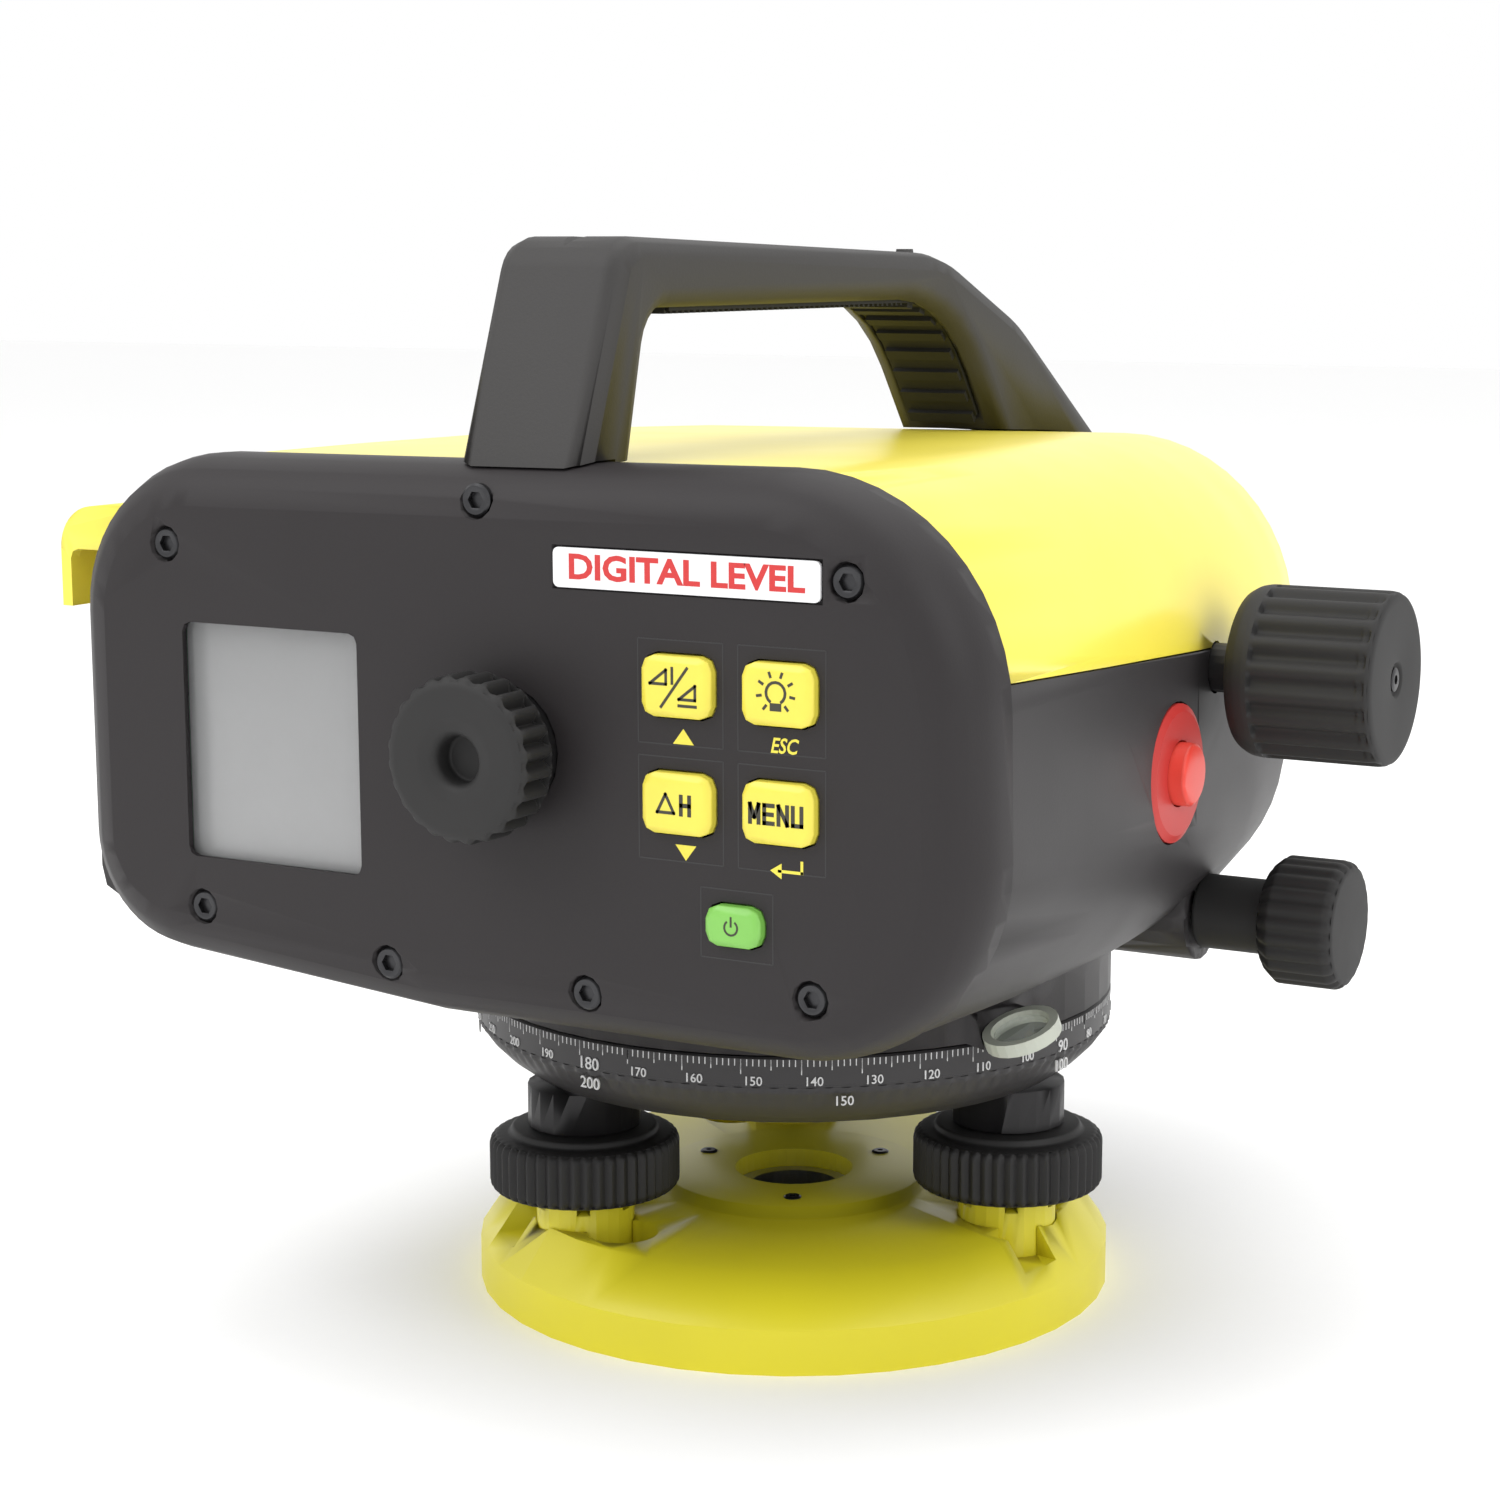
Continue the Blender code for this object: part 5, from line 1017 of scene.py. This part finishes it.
def roundedBox(left, right, low, high, radius, steps=5):
    points = []
    for index, (x, z) in enumerate(((right, high), (left, high), (left, low), (right, low))):
        middle = Vector((x + (radius if x == left else -radius), z + (radius if z == low else -radius)))
        for step in range(steps + 1):
            angle = math.radians(90 * (index + step / steps))
            points.append(middle + Vector((math.cos(angle), math.sin(angle))) * radius)
    return points


def makePanelPrints(look):
    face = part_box("control_panel")[0].y / mm
    near, far = face - 0.03, face + 0.3
    symbols = []
    reach, stroke = look["arrow"], look["stroke"]
    for (x, z), up in ((look["upArrow"], 1), (look["downArrow"], -1)):
        foot = z - reach * 0.6 * up
        symbols.append(slab([(x - reach, foot), (x + reach, foot), (x, z + reach * 0.7 * up)], near, far))
    x, z = look["enter"]
    symbols.append(slab(barOutline((x - 1.6, z - 0.4), (x + 2.4, z - 0.4), stroke), near, far))
    symbols.append(slab(barOutline((x + 2.2, z - 0.6), (x + 2.2, z + 1.3), stroke), near, far))
    symbols.append(slab([(x - 2.8, z - 0.4), (x - 1.0, z + 0.7), (x - 1.0, z - 1.5)], near, far))
    joined("panelSymbols", symbols, yellowInk, "alidade")
    x, z = look["escape"]
    slant = Matrix(((1, look["slant"], 0, 0), (0, 1, 0, 0), (0, 0, 1, 0), (0, 0, 0, 1)))
    spot = Matrix.Translation((x * mm, (face + 0.02) * mm, z * mm))
    turn = spot @ facing @ slant @ Matrix.Diagonal((look["escapeWidth"], 1, 1, 1))
    makeText("escapePrint", "ESC", look["escapeSize"], turn, yellowInk, "alidade", 0.1, 0.05)
    frames = []
    for node in ("key_sight", "key_light", "key_height", "key_menu", "key_power"):
        x, _, z = keyFace(node)
        half, below, above = look["powerFrame"] if node == "key_power" else look["keyFrame"]
        left, right = x - half, x + half
        frames += frameSlabs(left, right, z - below, z + above, look["frameWidth"], face - 0.015, face + 0.2)
    joined("keyFrames", frames, frameInk, "alidade")
    low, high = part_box("label_plate")
    low, high = low / mm, high / mm
    outline = roundedBox(low.x, high.x, low.z, high.z, look["labelRound"])
    plate = linkPiece(
        "labelPlateSkin", slab(outline, low.y, high.y), labelWhite, "alidade", 32.0, slotOf("label_plate")
    )
    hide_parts("label_plate")
    middle = (low + high) / 2
    panelText(
        "labelPrint", "DIGITAL LEVEL", middle.x, low.y + 0.02, middle.z, 4.9, redInk, "alidade", 1.18, 0.15
    )


makePanelPrints(panelPrint)
print("panel printed")


gripLook = {"fineRibs": 46, "slotRibs": 8, "fineBar": (12.6, 0.7, 0.9), "slotBar": (13.0, 2.1, 1.7)}


def gripPath(node, fromY, toY):  # the line along the grip's lower side, read from its own mesh
    data = frame["nodes"][node].data
    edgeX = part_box(node)[1].x
    points = sorted({(round(v.co.y, 6), round(v.co.z, 6)) for v in data.vertices if v.co.x > edgeX - 1e-5})
    lower = {}
    for y, z in points:
        lower.setdefault(y, z)
    spots = []
    for y, z in sorted(lower.items()):
        above = any(abs(y - nearY) < 0.004 and z - nearZ > 0.0022 for nearY, nearZ in points)
        if not above and fromY <= y / mm <= toY:
            spots.append((0.0, y, z))
    mesh = bpy.data.meshes.new("gripPath")
    mesh.from_pydata(spots, [(k, k + 1) for k in range(len(spots) - 1)], [])
    return mesh


def makeGripRibs(look):
    ribs = []
    for count, bar, fromY, toY in (
        (look["fineRibs"], look["fineBar"], -52, 30), (look["slotRibs"], look["slotBar"], 28, 60)
    ):
        path = gripPath("handle_grip", fromY, toY)
        size = tuple(side * mm for side in bar)
        values = {"Count": count, "Bar": size, "Finish": gripRubber}
        ribs.append(runTree(ribTree, f"gripRibs{count}", path, values))
    joined("gripRibs", ribs, gripRubber, "alidade")


makeGripRibs(gripLook)
print("grip ribbed")


stageLook = {
    "floor": (0.98, 0.98, 0.978), "world": 1.0, "lens": 72.56, "shift": (-0.02945, 0.00571),
    "eye": (0.24543, -0.44746, 0.17612), "yaw": 28.74, "pitch": 9.58,
}


def makeStage(look):
    material, graph, shader = newFinish("floorPaper", specular=0.2)
    fibre = graph.noise(3 * mm, 3.0, 0.5)
    graph.feed(
        shader.inputs["Base Color"],
        graph.blend(fibre, look["floor"], tuple(part * 0.985 for part in look["floor"])),
    )
    shader.inputs["Roughness"].default_value = 0.8
    mesh = bpy.data.meshes.new("floor")
    mesh.from_pydata([(-4, -4, 0), (4, -4, 0), (4, 4, 0), (-4, 4, 0)], [], [(0, 1, 2, 3)])
    mesh.materials.append(material)
    floor = bpy.data.objects.new("floor", mesh)
    bpy.context.scene.collection.objects.link(floor)
    world = bpy.data.worlds.new("studio")
    world.use_nodes = True
    world.node_tree.nodes["Background"].inputs["Color"].default_value = (1, 1, 1, 1)
    world.node_tree.nodes["Background"].inputs["Strength"].default_value = look["world"]
    bpy.context.scene.world = world
    lamps = {
        "keyLamp": {"at": (-0.55, -0.75, 1.05), "size": 0.9, "watts": 7.0},
        "sideLamp": {"at": (1.1, -0.25, 0.75), "size": 0.8, "watts": 4.0},
        "topLamp": {"at": (0.1, 0.25, 1.3), "size": 1.2, "watts": 6.0},
    }
    for name, lamp in lamps.items():
        light = bpy.data.lights.new(name, "AREA")
        light.energy = lamp["watts"]
        light.size = lamp["size"]
        lampObject = bpy.data.objects.new(name, light)
        lampObject.location = lamp["at"]
        aim = Vector((0, 0, 0.09)) - Vector(lamp["at"])
        lampObject.rotation_euler = aim.to_track_quat("-Z", "Y").to_euler()
        bpy.context.scene.collection.objects.link(lampObject)
    camera = bpy.data.cameras.new("viewer")
    camera.lens = look["lens"]
    camera.sensor_width = 36
    camera.shift_x, camera.shift_y = look["shift"]
    camera.clip_start = 0.01
    camera.clip_end = 50
    viewer = bpy.data.objects.new("viewer", camera)
    viewer.location = look["eye"]
    viewer.rotation_euler = (math.radians(90 - look["pitch"]), 0, math.radians(look["yaw"]))
    bpy.context.scene.collection.objects.link(viewer)
    bpy.context.scene.camera = viewer
    bpy.context.scene.view_settings.view_transform = "Standard"


makeStage(stageLook)
print("stage and camera ready")
